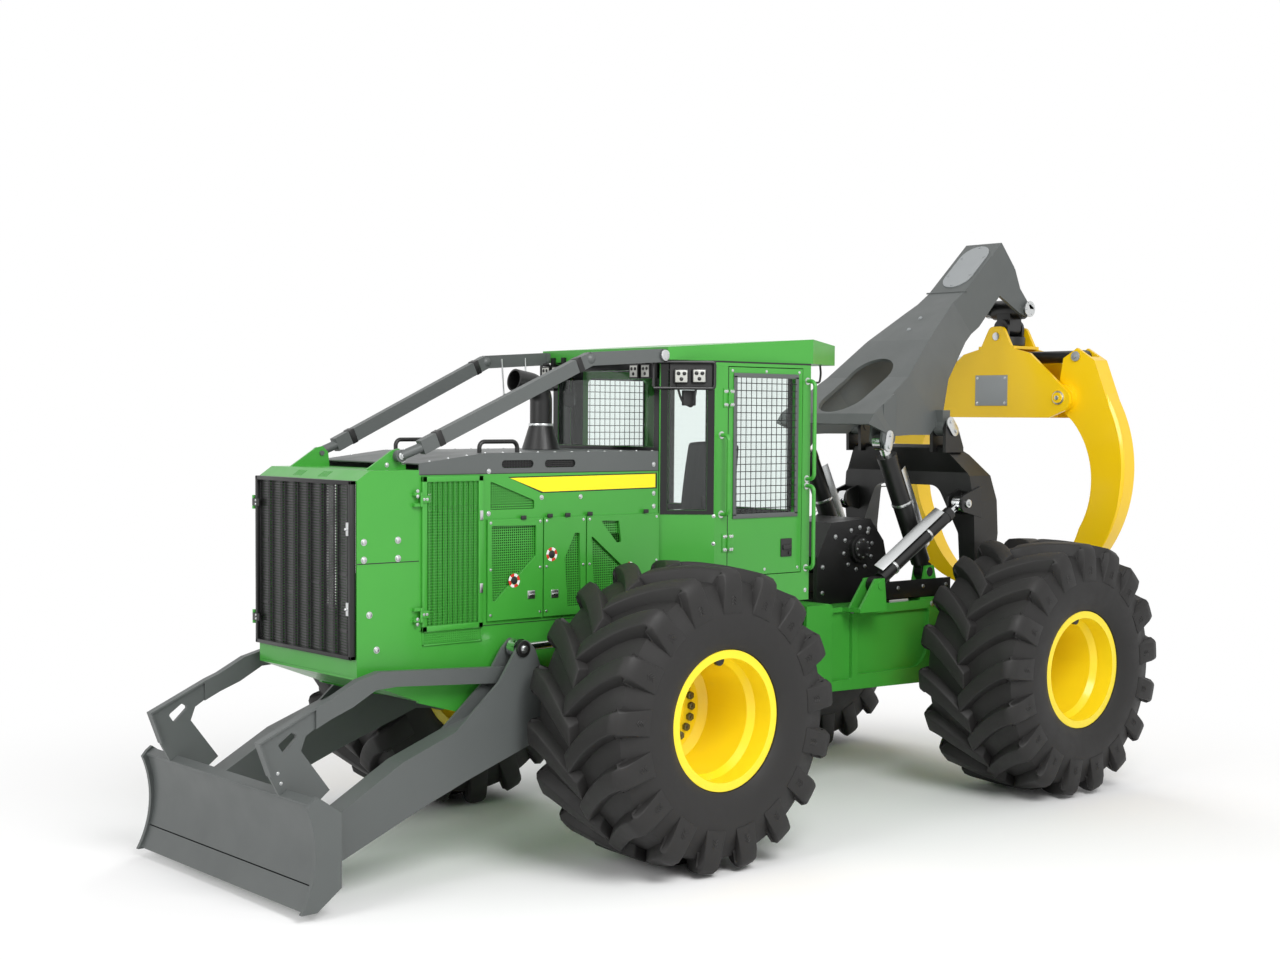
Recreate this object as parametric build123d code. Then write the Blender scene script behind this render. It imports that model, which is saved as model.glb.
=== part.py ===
from build123d import *
import math
import os

# Grapple skidder, full size, millimetres. The machine drives towards -Y, its left side is +X, +Z is up.
# Lengths along Y are written from the front axle, heights from the ground. main() moves the whole
# machine along Y so that its origin is the middle of its footprint.

# ---- driving dimensions ----------------------------------------------------------------------
WHEELBASE = 3740
TRACK = 2670            # tyre centre to tyre centre
TYRE_R = 972            # to the lug tips
TYRE_W = 900
RIM_R = 406             # bead seat
RIM_W = 787
RIM_WALL = 14
HUB_R = 205
SPINDLE_R = 95
DISC_U = -190           # wheel disc, from the middle of the rim towards the machine
HUB_IN = -560           # inner end of the hub drum
HITCH_Y = 1900          # articulation pin behind the front axle
HITCH_PIN_R = 60
HITCH_LUGS = (790, 1370)  # undersides of the front frame's two hitch lugs
ENGINE_BASE = 1300
STEEL = 30              # structural plate
SHEET = 8               # bodywork sheet
RUN = 0.05              # radial clearance of a pin in its bore
SEAT = 0.3              # gap at a seat that isn't a weld
DOOR_GAP = 6            # round a door in its opening

FRAME_HALF = 585        # front frame, cowl and hood, outer face
HITCH_WEB = 60          # half-width of the web between the front frame's hitch lugs
FRAME_TOP = 1530
FRAME_BOTTOM = 900
FRAME_REAR = 1250
COWL_FRONT = -1975
COWL_REAR = -1530
COWL_TOP = 2530
BELLY_FRONT = [(COWL_FRONT, 1250), (COWL_REAR, 1090), (-1125, 975)]
HOOD_REAR = 430
HOOD_TOP = 2635
HOOD_EDGE = 2500        # lower edge of the grey cover
HOOD_SLOT = (255, 50, 2558)     # length, height and level of the cover's side slots
HOOD_SLOTS = (-772, -425)

# Openings in each side wall of the hood: front, rear, bottom, top.
SCREEN = (-1505, -1065, 1540, 2480)
SCREEN_FRAME = 25
SCREEN_RIBS = 10
SERVICE = [(-1010, -590, 1575, 2200), (-560, -230, 1575, 2200), (-200, 415, 1575, 2200)]
MESH_HOLES = [          # in the service panels, as (y, z)
    [(-989, 2168), (-634, 2162), (-634, 1965), (-960, 1690), (-985, 1690)],
    [(-312, 2100), (-272, 2100), (-255, 1620), (-370, 1620), (-399, 1937)],
    [(-91, 2174), (68, 2168), (88, 2026), (50, 2022)],
    [(-172, 2079), (122, 1847), (122, 1823), (-124, 1634), (-143, 1634)],
]
UPPER_HOLE = [(-990, 2452), (-638, 2323), (-638, 2268), (-988, 2270)]
PANEL = (FRAME_HALF + SEAT, FRAME_HALF + 18)    # x range of a panel that laps its opening
LAP = 10
SCREEN_PIN = (FRAME_HALF + 30, COWL_REAR)
SCREEN_HINGES = (1640, 2350)
FRONT_FACE = COWL_FRONT - SEAT - 38
FRONT_PIN = (-FRAME_HALF - 12, FRONT_FACE + 4)
FRONT_HINGES = (1560, 2300)
FRONT_LEAF = ((-FRAME_HALF - 7, 1 - FRAME_HALF), (FRONT_PIN[1], COWL_FRONT + 45))

RISER_PIN = (468, -1600, 2615)  # limb risers: front pin, front end, bend, rear end
RISER_TIP = (501, -1462, 2666)
RISER_BEND = (581, -185, 3245)
RISER_ROOT = (638, 400, 3283)
INTAKE = (-200, 24)             # air intake stack, x and y
INTAKE_MOUTH = (-200, -214, 3115)

CAB_HALF = 820
CAB_FRONT = 440
CAB_CORNER = 740        # the angled corner panels end here
CAB_REAR = 1680
CAB_FLOOR = 1560
CAB_TOP = 3255
CAB_WALL = 50
CAB_MOUNT_X = 480
CAB_MOUNT_Y = (540, 1170)
ROOF_REAR = 2120
DOOR_FRONT = 860
DOOR_REAR = 1600
DOOR_BOTTOM = 1760
DOOR_TOP = 3220
DOOR_THICK = 35
DOOR_WINDOW = [(930, 2185), (930, 3155), (1530, 3155), (1530, 2185)]    # (y, z)
DOOR_PIN = (CAB_HALF + 12, DOOR_FRONT + DOOR_GAP / 2)
DOOR_HINGES = (2000, 3000)
GLASS = 8

BLADE_HALF = 1040
BLADE_REAR = -2360
BLADE_BAYS = [(-990, -830), (-625, -215), (-195, 195), (215, 625), (830, 990)]  # x, behind the mouldboard
ARM_IN = FRAME_HALF + 60
ARM_OUT = ARM_IN + 165
HORN_X = (ARM_IN + 25, ARM_IN + 50)     # guard plates on the arms
HORN_FLANGE = (ARM_IN + 8, ARM_IN + 67)
CRANK = 20              # bell-crank plates on the blade arms
ARM_PIVOT = (-500, 900)
BLADE_EYE = (-877, 1398)
BLADE_BASE = (150, 1420)
BLADE_CYL_X = (ARM_IN + ARM_OUT) / 2

REAR_HALF = 500
REAR_WALL = 60          # depth of the side members, which are recessed by half of it
REAR_TOP = 1430
REAR_BOTTOM = 800
REAR_END = WHEELBASE + 560
TIE_R = 32              # tie-down bores through both side members
TIE_AT = (2120, 1180)
ARCH_PIVOT = (WHEELBASE + 230, 1290)
ARCH_EYE = (WHEELBASE - 115, 2197)
ARCH_BASE = (WHEELBASE - 1120, 1600)
ARCH_CYL_X = 618
BOOM_PIVOT = (WHEELBASE - 130, 2808)
BOOM_EYE = (WHEELBASE - 840, 2692)
BOOM_BASE = (WHEELBASE - 320, 1650)
BOOM_CYL_X = 425
STEER_Z = 1100
STEER_BASE = (200, HITCH_Y - 600)
STEER_EYE = (250, HITCH_Y + 500)
STEER_DRIFT = 155       # free depth of the clevis behind the rod's eye
BOOM_ANGLE = 44         # of the boom's top plate above level
LINK_PIN = (WHEELBASE + 1280, 3820)
GRAPPLE_Y = LINK_PIN[0]
HEAD_HALF = 175         # head plates, outer face, from the grapple's middle
TONG_PIVOT = (660, 3053)
TONG_EYE = (770, 3400)
TONG_W = 180
TONG_REACH = 1250       # of a closed tong's outer curve, from the grapple's middle
TONG_BEVEL = 20
ROTATOR_DROP = 160      # cross pin below the link pin

FRONT_END = -2704       # horn tips
REAR_END_ALL = GRAPPLE_Y + HEAD_HALF + 25
Y_SHIFT = -(FRONT_END + REAR_END_ALL) / 2


# ---- small tools -----------------------------------------------------------------------------
def outline(points, radii=0):
    """Closed flat face through points, its corners rounded by one radius or a list of them."""
    if radii == 0:
        return make_face(Polyline(*points, close=True))
    return make_face(FilletPolyline(*points, radius=radii, close=True))


def along_x(face, x0, x1):
    """Outline drawn in (y, z), extruded from x0 to x1."""
    return extrude(Plane.YZ.offset(x0) * face, x1 - x0)


def along_y(face, y0, y1):
    """Outline drawn in (x, z), extruded from y0 to y1."""
    return extrude(Plane((0, y0, 0), x_dir=(1, 0, 0), z_dir=(0, -1, 0)) * face, y0 - y1)


def along_z(face, z0, z1):
    """Outline drawn in (x, y), extruded from z0 to z1."""
    return extrude(Plane.XY.offset(z0) * face, z1 - z0)


def strip(a, b, thick):
    """Flat bar from a to b, thick towards the right of the way from a to b."""
    way = Vector(b[0] - a[0], b[1] - a[1]).normalized() * thick
    return outline([a, b, (b[0] + way.Y, b[1] - way.X), (a[0] + way.Y, a[1] - way.X)])


def block(x, y, z):
    """Box from three (low, high) pairs."""
    size = [high - low for low, high in (x, y, z)]
    middle = [(high + low) / 2 for low, high in (x, y, z)]
    return Pos(*middle) * Box(*size)


def bar_x(radius, x, at):
    """Round bar along X from x[0] to x[1] at (y, z)."""
    return Pos((x[0] + x[1]) / 2, *at) * Rot(0, 90, 0) * Cylinder(radius, x[1] - x[0])


def bar_y(radius, y, at):
    """Round bar along Y from y[0] to y[1] at (x, z)."""
    return Pos(at[0], (y[0] + y[1]) / 2, at[1]) * Rot(90, 0, 0) * Cylinder(radius, y[1] - y[0])


def bar_z(radius, z, at):
    """Round bar along Z from z[0] to z[1] at (x, y)."""
    return Pos(*at, (z[0] + z[1]) / 2) * Cylinder(radius, z[1] - z[0])


def rod(start, end, radius):
    """Round bar between two points."""
    way = Vector(*end) - Vector(*start)
    return extrude(Plane(start, z_dir=way) * Circle(radius), way.length)


def tube(points, radius, bend, section=None):
    """Bar swept along straight runs joined by arcs."""
    path = FilletPolyline(*points, radius=bend) if len(points) > 2 else Line(*points)
    face = Circle(radius) if section is None else section
    return sweep(Plane(path @ 0, z_dir=path % 0) * face, path=path)


def pair(shape):
    """A left-hand shape and its mirror image."""
    return [shape, mirror(shape, Plane.YZ)]


def swap(shape):
    """The right-hand twin of a left-hand shape."""
    return mirror(shape, Plane.YZ)


def both(shape):
    """A left-hand shape and its mirror image as one, to be added or cut."""
    return shape + mirror(shape, Plane.YZ)


def shift(points, dy=0, dz=0):
    """Points (y, z) moved together."""
    return [(y + dy, z + dz) for y, z in points]


# ---- wheels ----------------------------------------------------------------------------------
def tyre():
    """Carcass up to the lug tips, turned about X at x = 0."""
    half = TYRE_W / 2
    flank = half - 15
    seat = RIM_R + SEAT
    bead = RIM_W / 2 - 16
    crown = TYRE_R - 14
    profile = (
        Polyline((-bead, seat), (bead, seat), (bead, seat + 60))
        + ThreePointArc((bead, seat + 60), (half, (RIM_R + TYRE_R) / 2), (flank, TYRE_R - 110))
        + Polyline((flank, TYRE_R - 110), (flank - 45, crown))
        + ThreePointArc((flank - 45, crown), (0, TYRE_R), (45 - flank, crown))
        + Polyline((45 - flank, crown), (-flank, TYRE_R - 110))
        + ThreePointArc((-flank, TYRE_R - 110), (-half, (RIM_R + TYRE_R) / 2), (-bead, seat + 60))
        + Polyline((-bead, seat + 60), (-bead, seat))
    )
    right = [(half - 150, TYRE_R - 90), (half - 60, TYRE_R - 190), (half - 60, seat + 230),
             (bead - 40, seat + 60), (bead - 40, seat - 1)]
    casing = outline(right + [(-x, r) for x, r in reversed(right)])
    return revolve(make_face(profile), Axis.X) - revolve(casing, Axis.X)


def rim():
    """Deep-dish rim, disc and hub in one, turned about X at x = 0."""
    half = RIM_W / 2
    flange = RIM_R + 40
    well = RIM_R - 32
    section = [(-half, flange), (-half + 14, flange), (-half + 15, RIM_R), (-half + 150, RIM_R),
               (-half + 190, well), (half - 190, well), (half - 150, RIM_R), (half - 15, RIM_R),
               (half - 14, flange), (half, flange), (half, RIM_R - RIM_WALL),
               (half - 140, RIM_R - RIM_WALL), (half - 185, well - RIM_WALL),
               (185 - half, well - RIM_WALL), (140 - half, RIM_R - RIM_WALL), (-half, RIM_R - RIM_WALL)]
    ring = revolve(outline(section), Axis.X)
    disc = revolve(outline([(DISC_U - 22, 0), (DISC_U, 0), (DISC_U, 300), (DISC_U + 30, well - RIM_WALL),
                            (DISC_U + 8, well - RIM_WALL), (DISC_U - 22, 300)]), Axis.X)
    hub = bar_x(HUB_R, (HUB_IN, DISC_U), (0, 0))
    cap = bar_x(120, (DISC_U, DISC_U + 60), (0, 0))
    bore = bar_x(SPINDLE_R + RUN, (HUB_IN, DISC_U - 60), (0, 0))
    return ring + disc + hub + cap - bore


def wheels(parts):
    for end, y in (("front", 0), ("rear", WHEELBASE)):
        place = Pos(TRACK / 2, y, TYRE_R)
        for piece, made in (("tyre", tyre()), ("rim", rim())):
            left = place * made
            parts[f"{end}_left_{piece}"] = [left]
            parts[f"{end}_right_{piece}"] = [swap(left)]


def axle(y):
    """Banjo housing with planetary ends and a spindle in each hub."""
    hub_face = TRACK / 2 + HUB_IN
    shape = bar_x(115, (-hub_face + 5, hub_face - 5), (y, TYRE_R))
    shape += Pos(0, y, TYRE_R) * Rot(0, 90, 0) * Cylinder(215, 260)
    shape += Pos(0, y, TYRE_R) * Rot(0, 90, 0) * Cone(215, 120, 240).moved(Pos(0, 0, 250))
    shape += Pos(0, y, TYRE_R) * Rot(0, -90, 0) * Cone(215, 120, 240).moved(Pos(0, 0, 250))
    for side in (1, -1):
        ends = sorted((side * (hub_face - 145), side * (hub_face - 5)))
        shape += bar_x(HUB_R - 15, ends, (y, TYRE_R))
        ends = sorted((side * (hub_face - 5), side * (TRACK / 2 + DISC_U - 65)))
        shape += bar_x(SPINDLE_R, ends, (y, TYRE_R))
    return shape


# ---- cylinders -------------------------------------------------------------------------------
def cylinder(base, eye, out, bore, rod_r, retract, eye_r, eye_w, pin_r, free=0):
    """Hydraulic cylinder from its base pin to its rod eye, both pins parallel to out: barrel, piston, rod.

    bore and rod_r are radii, retract is how much it can shorten, eye_w the width of both eyes, free
    the gap between piston and rod where they are two bodies. The rod's eye carries its own pin, which
    ends short of the plates on either side."""
    unit = (eye - base).normalized()
    length = (eye - base).length
    wall = bore + 12
    foot = eye_r + 15                       # barrel's foot plate, from the base pin
    floor = foot + 8                        # bottom of the bore
    top = length - retract - eye_r - 5      # outer face of the gland
    gland = top - 40
    seat = floor + retract                  # piston, at rest
    frame = Plane(base, x_dir=out, z_dir=unit)
    lug = Plane(base, x_dir=unit, z_dir=out)
    end = Plane(eye, x_dir=unit, z_dir=out)
    case = frame * Pos(0, 0, (top + foot) / 2) * Cylinder(wall, top - foot)
    case += frame * Pos(0, 0, top - 30) * Cylinder(wall + 3, 60)
    case += frame * Pos(0, 0, foot / 2) * Box(eye_w, 1.5 * bore, foot + 2)
    case += lug * Cylinder(eye_r, eye_w)
    case -= frame * Pos(0, 0, (floor + gland) / 2) * Cylinder(bore, gland - floor)
    case -= frame * Pos(0, 0, top - 20) * Cylinder(rod_r + RUN, 42)
    case -= lug * Cylinder(pin_r + RUN, eye_w + 2)
    piston = frame * Pos(0, 0, seat + 15) * Cylinder(bore - RUN, 30)
    heel = seat + 30 + free
    stem = frame * Pos(0, 0, (heel + length) / 2) * Cylinder(rod_r, length - heel)
    stem += end * Cylinder(eye_r, eye_w) + end * Cylinder(pin_r, eye_w + 8)
    return case, piston, stem


def hinge_fixed(at, z, leaf):
    """Fixed half of an upright butt hinge round (x, y) = at, with its pin; leaf is an (x, y) range."""
    half = bar_z(5, (z - 44, z + 44), at)
    for low in (z - 44, z + 24):
        half += bar_z(10, (low, low + 20), at) + block(*leaf, (low, low + 20))
    return half


def hinge_moving(at, z, leaf):
    """Moving half of the same hinge, bored for its pin."""
    half = bar_z(10, (z - 23, z + 23), at) + block(*leaf, (z - 23, z + 23))
    return half - bar_z(5 + RUN, (z - 24, z + 24), at)


# ---- front half ------------------------------------------------------------------------------
def front_frame():
    side = [(COWL_REAR, FRAME_TOP), *BELLY_FRONT[1:], (-700, FRAME_BOTTOM), (-330, FRAME_BOTTOM),
            (-300, TYRE_R + 250), (300, TYRE_R + 250), (330, FRAME_BOTTOM), (FRAME_REAR, FRAME_BOTTOM),
            (FRAME_REAR, FRAME_TOP - 80), (HOOD_REAR, FRAME_TOP - 80), (HOOD_REAR, FRAME_TOP)]
    shape = along_x(outline(side), FRAME_HALF - STEEL, FRAME_HALF)
    shape += swap(shape)
    wide = (STEEL - FRAME_HALF, FRAME_HALF - STEEL)
    deck = FRAME_TOP - 80
    for y, low, high in ((COWL_REAR, 1100, FRAME_TOP), (-360, FRAME_BOTTOM, ENGINE_BASE),
                         (330, FRAME_BOTTOM, deck), (FRAME_REAR - STEEL, FRAME_BOTTOM, deck)):
        shape += block(wide, (y, y + STEEL), (low, high))
    belly = [(COWL_REAR, 1100), (-1125, 985), (-700, FRAME_BOTTOM), (-360, FRAME_BOTTOM),
             (-360, FRAME_BOTTOM + 20), (-695, FRAME_BOTTOM + 20), (-1120, 1005), (COWL_REAR, 1120)]
    shape += along_x(outline(belly), *wide)
    shape += block(wide, (330, FRAME_REAR), (FRAME_BOTTOM, FRAME_BOTTOM + 20))
    shape += block(wide, (HOOD_REAR, FRAME_REAR), (FRAME_TOP - 100, FRAME_TOP - 80))
    shape += block((-400, 400), (FRAME_REAR - STEEL, FRAME_REAR), (HITCH_LUGS[0], FRAME_BOTTOM + 1))
    for y in (-330, 250):
        shape += block(wide, (y, y + 80), (TYRE_R + 225, TYRE_R + 260))
        shape += block((-160, 160), (y, y + 80), (TYRE_R - 60, TYRE_R + 240))
    x, y = STEER_BASE
    for z in (STEER_Z - 65, STEER_Z + 45):
        ear = block((x - 55, x + 55), (FRAME_REAR - 1, y), (z, z + 20)) + bar_z(55, (z, z + 20), (x, y))
        shape += ear + swap(ear)
    return shape + both(bar_z(28, (STEER_Z - 70, STEER_Z + 70), STEER_BASE))


def hitch():
    """The front frame's two hitch lugs and the web between them, seated on its rear bulkhead."""
    seat = FRAME_REAR + SEAT
    lug = outline([(-390, seat), (-130, HITCH_Y), (-130, HITCH_Y + 130), (130, HITCH_Y + 130), (130, HITCH_Y),
                   (390, seat)], [0, 0, 129, 129, 0, 0])
    lugs = [along_z(lug, low, low + 50) - bar_z(HITCH_PIN_R + RUN, (low - 1, low + 51), (0, HITCH_Y))
            for low in HITCH_LUGS]
    low, high = HITCH_LUGS[0] + 50 + SEAT, HITCH_LUGS[1] - SEAT
    return [*lugs, block((-HITCH_WEB, HITCH_WEB), (seat, FRAME_REAR + 240), (low, high))]


def arm_pivot():
    """Stub that a blade arm turns on, seated on the front frame."""
    seat = FRAME_HALF + SEAT
    return bar_x(95, (seat, ARM_IN - 5), ARM_PIVOT) + bar_x(50, (seat, ARM_OUT + 25), ARM_PIVOT)


def blade_bracket():
    """Bracket and pin for a blade cylinder's base, seated on the front frame."""
    y, z = BLADE_BASE
    seat, gap = FRAME_HALF + SEAT, 43
    outer = (BLADE_CYL_X + gap, BLADE_CYL_X + gap + CRANK)
    shape = block((seat, outer[1]), (y - 70, y + 70), (FRAME_TOP - 250, FRAME_TOP - 220))
    for ends in ((seat, BLADE_CYL_X - gap), outer):
        shape += bar_x(70, ends, BLADE_BASE) + block(ends, (y - 70, y + 70), (FRAME_TOP - 250, z))
    return shape + bar_x(35, (seat, outer[1] + 10), BLADE_BASE)


def front_axle():
    shape = axle(0)
    for y in (-250, 250):
        ends = sorted((y, y - math.copysign(110, y)))
        shape += bar_y(70, ends, (0, TYRE_R))
    return shape


def cab_mounts():
    """Rubber mounts between the frame and the cab's floor."""
    spots = [(x, y) for x in (-CAB_MOUNT_X, CAB_MOUNT_X) for y in CAB_MOUNT_Y]
    return [bar_z(55, (FRAME_TOP - 80, CAB_FLOOR), spot) for spot in spots]


def cowl():
    """Green nose: side, top and belly sheets round the cooling package, open at front and rear."""
    side = outline([(COWL_FRONT, 1270), (COWL_FRONT, COWL_TOP - 60), (COWL_FRONT + 90, COWL_TOP),
                    (COWL_REAR, COWL_TOP), (COWL_REAR, 1100)])
    outer = along_x(side, -FRAME_HALF, FRAME_HALF)
    inner = along_x(outline([(COWL_FRONT - 1, 1270 + 2 * SHEET), (COWL_FRONT - 1, COWL_TOP - 75),
                             (COWL_FRONT + 90, COWL_TOP - SHEET), (COWL_REAR + 1, COWL_TOP - SHEET),
                             (COWL_REAR + 1, 1100 + 2 * SHEET)]), SHEET - FRAME_HALF, FRAME_HALF - SHEET)
    shape = outer - inner
    for z in SCREEN_HINGES:
        leaf = ((FRAME_HALF - 1, FRAME_HALF + 27), (COWL_REAR - 50, COWL_REAR))
        shape += both(hinge_fixed(SCREEN_PIN, z, leaf))
    for z in FRONT_HINGES:
        shape += hinge_fixed(FRONT_PIN, z, FRONT_LEAF)
    for middle in (-150, 150):
        for n in range(-2, 3):
            x = middle + 22 * n
            shape -= block((x - 5, x + 5), (COWL_FRONT + 20, COWL_FRONT + 70), (COWL_TOP - 70, COWL_TOP + 1))
    x, y, z = RISER_PIN
    bracket = outline([(y - 230, COWL_TOP - 1), (y - 40, z + 35), (y + 10, z + 45), (y + 50, z + 5),
                       (y + 60, COWL_TOP - 1)])
    plate = along_x(bracket, x - 28, x - 12) - bar_x(16 + RUN, (x - 30, x), (y, z))
    return shape + both(plate)


def hood_top():
    side = outline([(COWL_REAR, HOOD_EDGE), (COWL_REAR, 2570), (-1030, 2630), (HOOD_REAR, HOOD_TOP),
                    (HOOD_REAR, HOOD_EDGE)])
    inner = outline([(COWL_REAR - 1, HOOD_EDGE - 1), (COWL_REAR - 1, 2562), (-1030, 2622),
                     (HOOD_REAR - SHEET, HOOD_TOP - SHEET), (HOOD_REAR - SHEET, HOOD_EDGE - 1)])
    shape = along_x(side, -FRAME_HALF, FRAME_HALF) - along_x(inner, SHEET - FRAME_HALF, FRAME_HALF - SHEET)
    length, height, level = HOOD_SLOT
    for y in HOOD_SLOTS:
        slot = Pos(y, level) * SlotOverall(length, height)
        shape -= along_x(slot.face(), -FRAME_HALF - 1, FRAME_HALF + 1)
    return shape


def hood_sides():
    wall = outline([(COWL_REAR, FRAME_TOP), (COWL_REAR, HOOD_EDGE),
                    (HOOD_REAR, HOOD_EDGE), (HOOD_REAR, FRAME_TOP)])
    shape = along_x(wall, FRAME_HALF - SHEET, FRAME_HALF)
    for y0, y1, z0, z1 in (SCREEN, *SERVICE):
        shape -= block((0, FRAME_HALF + 1), (y0, y1), (z0, z1))
    return shape - along_x(outline(UPPER_HOLE, 10), 0, FRAME_HALF + 1)


def side_panel(box):
    """Panel that laps its opening from outside."""
    y0, y1, z0, z1 = box
    return block(PANEL, (y0 - LAP, y1 + LAP), (z0 - LAP, z1 + LAP))


def service_panels():
    """Bolted panels over the engine, with their mesh windows cut through."""
    panels = []
    for box in SERVICE:
        panel = side_panel(box)
        for points in MESH_HOLES:
            panel -= along_x(outline(points, 8), 0, PANEL[1] + 1)
        panels += pair(panel)
    return panels


def side_screen():
    """Folded screen over the cooler in its frame, hinged along the front edge."""
    y0, y1, z0, z1 = SCREEN
    inner = (y0 + SCREEN_FRAME, y1 - SCREEN_FRAME), (z0 + SCREEN_FRAME, z1 - SCREEN_FRAME)
    shape = side_panel(SCREEN) - block((0, PANEL[1] + 1), *inner)
    pitch = (inner[0][1] - inner[0][0]) / SCREEN_RIBS
    low, high = PANEL[0] + 4, PANEL[0] + 14
    folds = [(low, inner[0][0] - 1)]
    for n in range(SCREEN_RIBS):
        y = inner[0][0] + n * pitch
        folds += [(low, y + 0.25 * pitch), (high, y + 0.4 * pitch)]
        folds += [(high, y + 0.7 * pitch), (low, y + 0.85 * pitch)]
    folds.append((low, inner[0][1] + 1))
    sheet = outline(folds + [(x - 4, y) for x, y in reversed(folds)])
    shape += along_z(sheet, z0 + SCREEN_FRAME - 1, z1 - SCREEN_FRAME + 1)
    for z in SCREEN_HINGES:
        shape += hinge_moving(SCREEN_PIN, z, ((PANEL[1] - 1, PANEL[1] + 6), (COWL_REAR, COWL_REAR + 60)))
    return shape


def front_screen():
    """Hinged screen with seven curved louvre columns."""
    half = FRAME_HALF - 12
    y = COWL_FRONT - SEAT
    shape = block((-half, half), (FRONT_FACE, y), (1393, 2471))
    shape -= block((25 - half, half - 25), (FRONT_FACE - 1, y + 1), (1420, 2445))
    step = (2 * half - 50) / 7
    for n in range(7):
        x = 25 - half + step * n
        face = outline([(x, y - 8), (x + step - 6, y - 30), (x + step - 6, y - 22), (x, y)])
        shape += along_z(face, 1418, 2447)
    for z in FRONT_HINGES:
        leaf = ((FRONT_PIN[0], 60 - half), (FRONT_FACE - 6, FRONT_FACE + 1))
        shape += hinge_moving(FRONT_PIN, z, leaf)
    return shape


def limb_risers():
    """Left riser: rectangular bars from the cowl's bracket over the hood to the cab's roof corner."""
    tip, bend, root = Vector(*RISER_TIP), Vector(*RISER_BEND), Vector(*RISER_ROOT)
    section = Rectangle(60, 90)
    shape = sweep(Plane(tip, x_dir=(1, 0, 0), z_dir=bend - tip) * section, path=Line(tip, bend))
    shape += sweep(Plane(bend, x_dir=(1, 0, 0), z_dir=root - bend) * section, path=Line(bend, root))
    shape += Pos(*bend) * Sphere(44)
    x, y, z = RISER_PIN
    shape += rod((x + 22, y, z), RISER_TIP, 30) + bar_x(38, (x - 12 + SEAT, x + 32), (y, z))
    shape += bar_x(16, (x - 40, x + 42), (y, z))
    x, y, z = RISER_ROOT
    return shape + block((x - 38, x + 38), (y - 15, y + 20 - SEAT), (z - 25, z + 42))


# ---- cab -------------------------------------------------------------------------------------
def cab_plan(inset=0):
    """Half-symmetric plan of the cab, set in by inset."""
    f, c, r, h = CAB_FRONT + inset, CAB_CORNER + inset * 0.5, CAB_REAR - inset, CAB_HALF - inset
    n = FRAME_HALF - inset * 0.6
    return outline([(-n, f), (n, f), (h, c), (h, r), (-h, r), (-h, c)])


def cab_shell():
    """Floor, roof slab, wall panels and fixed hinge halves, each seated on the next."""
    base, ceiling = CAB_FLOOR + 40, DOOR_TOP
    shape = along_z(cab_plan(), CAB_FLOOR, CAB_TOP)
    shape -= along_z(cab_plan(CAB_WALL), base, ceiling)
    shape -= block((-530, 530), (CAB_FRONT - 1, CAB_FRONT + CAB_WALL + 1), (2660, 3190))
    shape -= block((-640, 640), (CAB_REAR - CAB_WALL - 1, CAB_REAR + 1), (2200, 3170))
    corner = Vector(CAB_HALF - FRAME_HALF, CAB_CORNER - CAB_FRONT, 0)
    pane = Plane((FRAME_HALF, CAB_FRONT, 2710), x_dir=corner, z_dir=(corner.Y, -corner.X, 0))
    window = pane * Pos(corner.length / 2, 0, 0) * Box(corner.length - 110, 960, 3 * CAB_WALL)
    opening = block((CAB_HALF - CAB_WALL - 1, CAB_HALF + 1), (DOOR_FRONT, DOOR_REAR), (DOOR_BOTTOM, ceiling))
    shape = shape - window - swap(window) - opening - swap(opening)
    bend, post, back = FRAME_HALF - CAB_WALL / 2, CAB_CORNER + 20, CAB_REAR - CAB_WALL
    wide, wall = (-CAB_HALF, CAB_HALF), (base + SEAT, ceiling - SEAT)
    panels = [
        block(wide, (CAB_FRONT, CAB_REAR), (CAB_FLOOR, base)),
        block(wide, (CAB_FRONT, CAB_REAR), (ceiling, CAB_TOP)),
        block(wide, (back, CAB_REAR), wall),
        block((SEAT - bend, bend - SEAT), (CAB_FRONT, post), wall),
        *pair(block((bend, CAB_HALF), (CAB_FRONT, post - SEAT), wall)),
        *pair(block((0, CAB_HALF), (post, back - SEAT), wall)),
    ]
    solids = [shape & panel for panel in panels]
    leaf = ((CAB_HALF + SEAT, CAB_HALF + 6), (DOOR_PIN[1] - 45, DOOR_PIN[1]))
    for z in DOOR_HINGES:
        solids += pair(hinge_fixed(DOOR_PIN, z, leaf))
    return solids


def cab_door():
    """Left door, seated in its opening, with its window cut, and its hinge halves."""
    g = DOOR_GAP
    x = (CAB_HALF - DOOR_THICK, CAB_HALF)
    frame = block(x, (DOOR_FRONT + g, DOOR_REAR - g), (DOOR_BOTTOM + g, DOOR_TOP - g))
    frame -= along_x(outline(DOOR_WINDOW, 45), 0, CAB_HALF + 1)
    leaf = ((CAB_HALF + SEAT, CAB_HALF + 6), (DOOR_PIN[1], DOOR_PIN[1] + 45))
    return [frame, *[hinge_moving(DOOR_PIN, z, leaf) for z in DOOR_HINGES]]


def door_glass():
    x = CAB_HALF - DOOR_THICK / 2
    return along_x(outline(DOOR_WINDOW, 45), x - GLASS / 2, x + GLASS / 2)


def cab_glass():
    """Fixed panes: windscreen, rear window and the two corner panes."""
    screen = block((-530, 530), (CAB_FRONT + 20, CAB_FRONT + 20 + GLASS), (2660, 3190))
    rear = block((-640, 640), (CAB_REAR - 28, CAB_REAR - 28 + GLASS), (2200, 3170))
    corner = Vector(CAB_HALF - FRAME_HALF, CAB_CORNER - CAB_FRONT, 0)
    pane = Plane((FRAME_HALF, CAB_FRONT, 2710), x_dir=corner, z_dir=(corner.Y, -corner.X, 0))
    side = pane * Pos(corner.length / 2, 0, -25) * Box(corner.length - 110, 960, GLASS)
    return [screen, rear, side, swap(side)]


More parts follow.
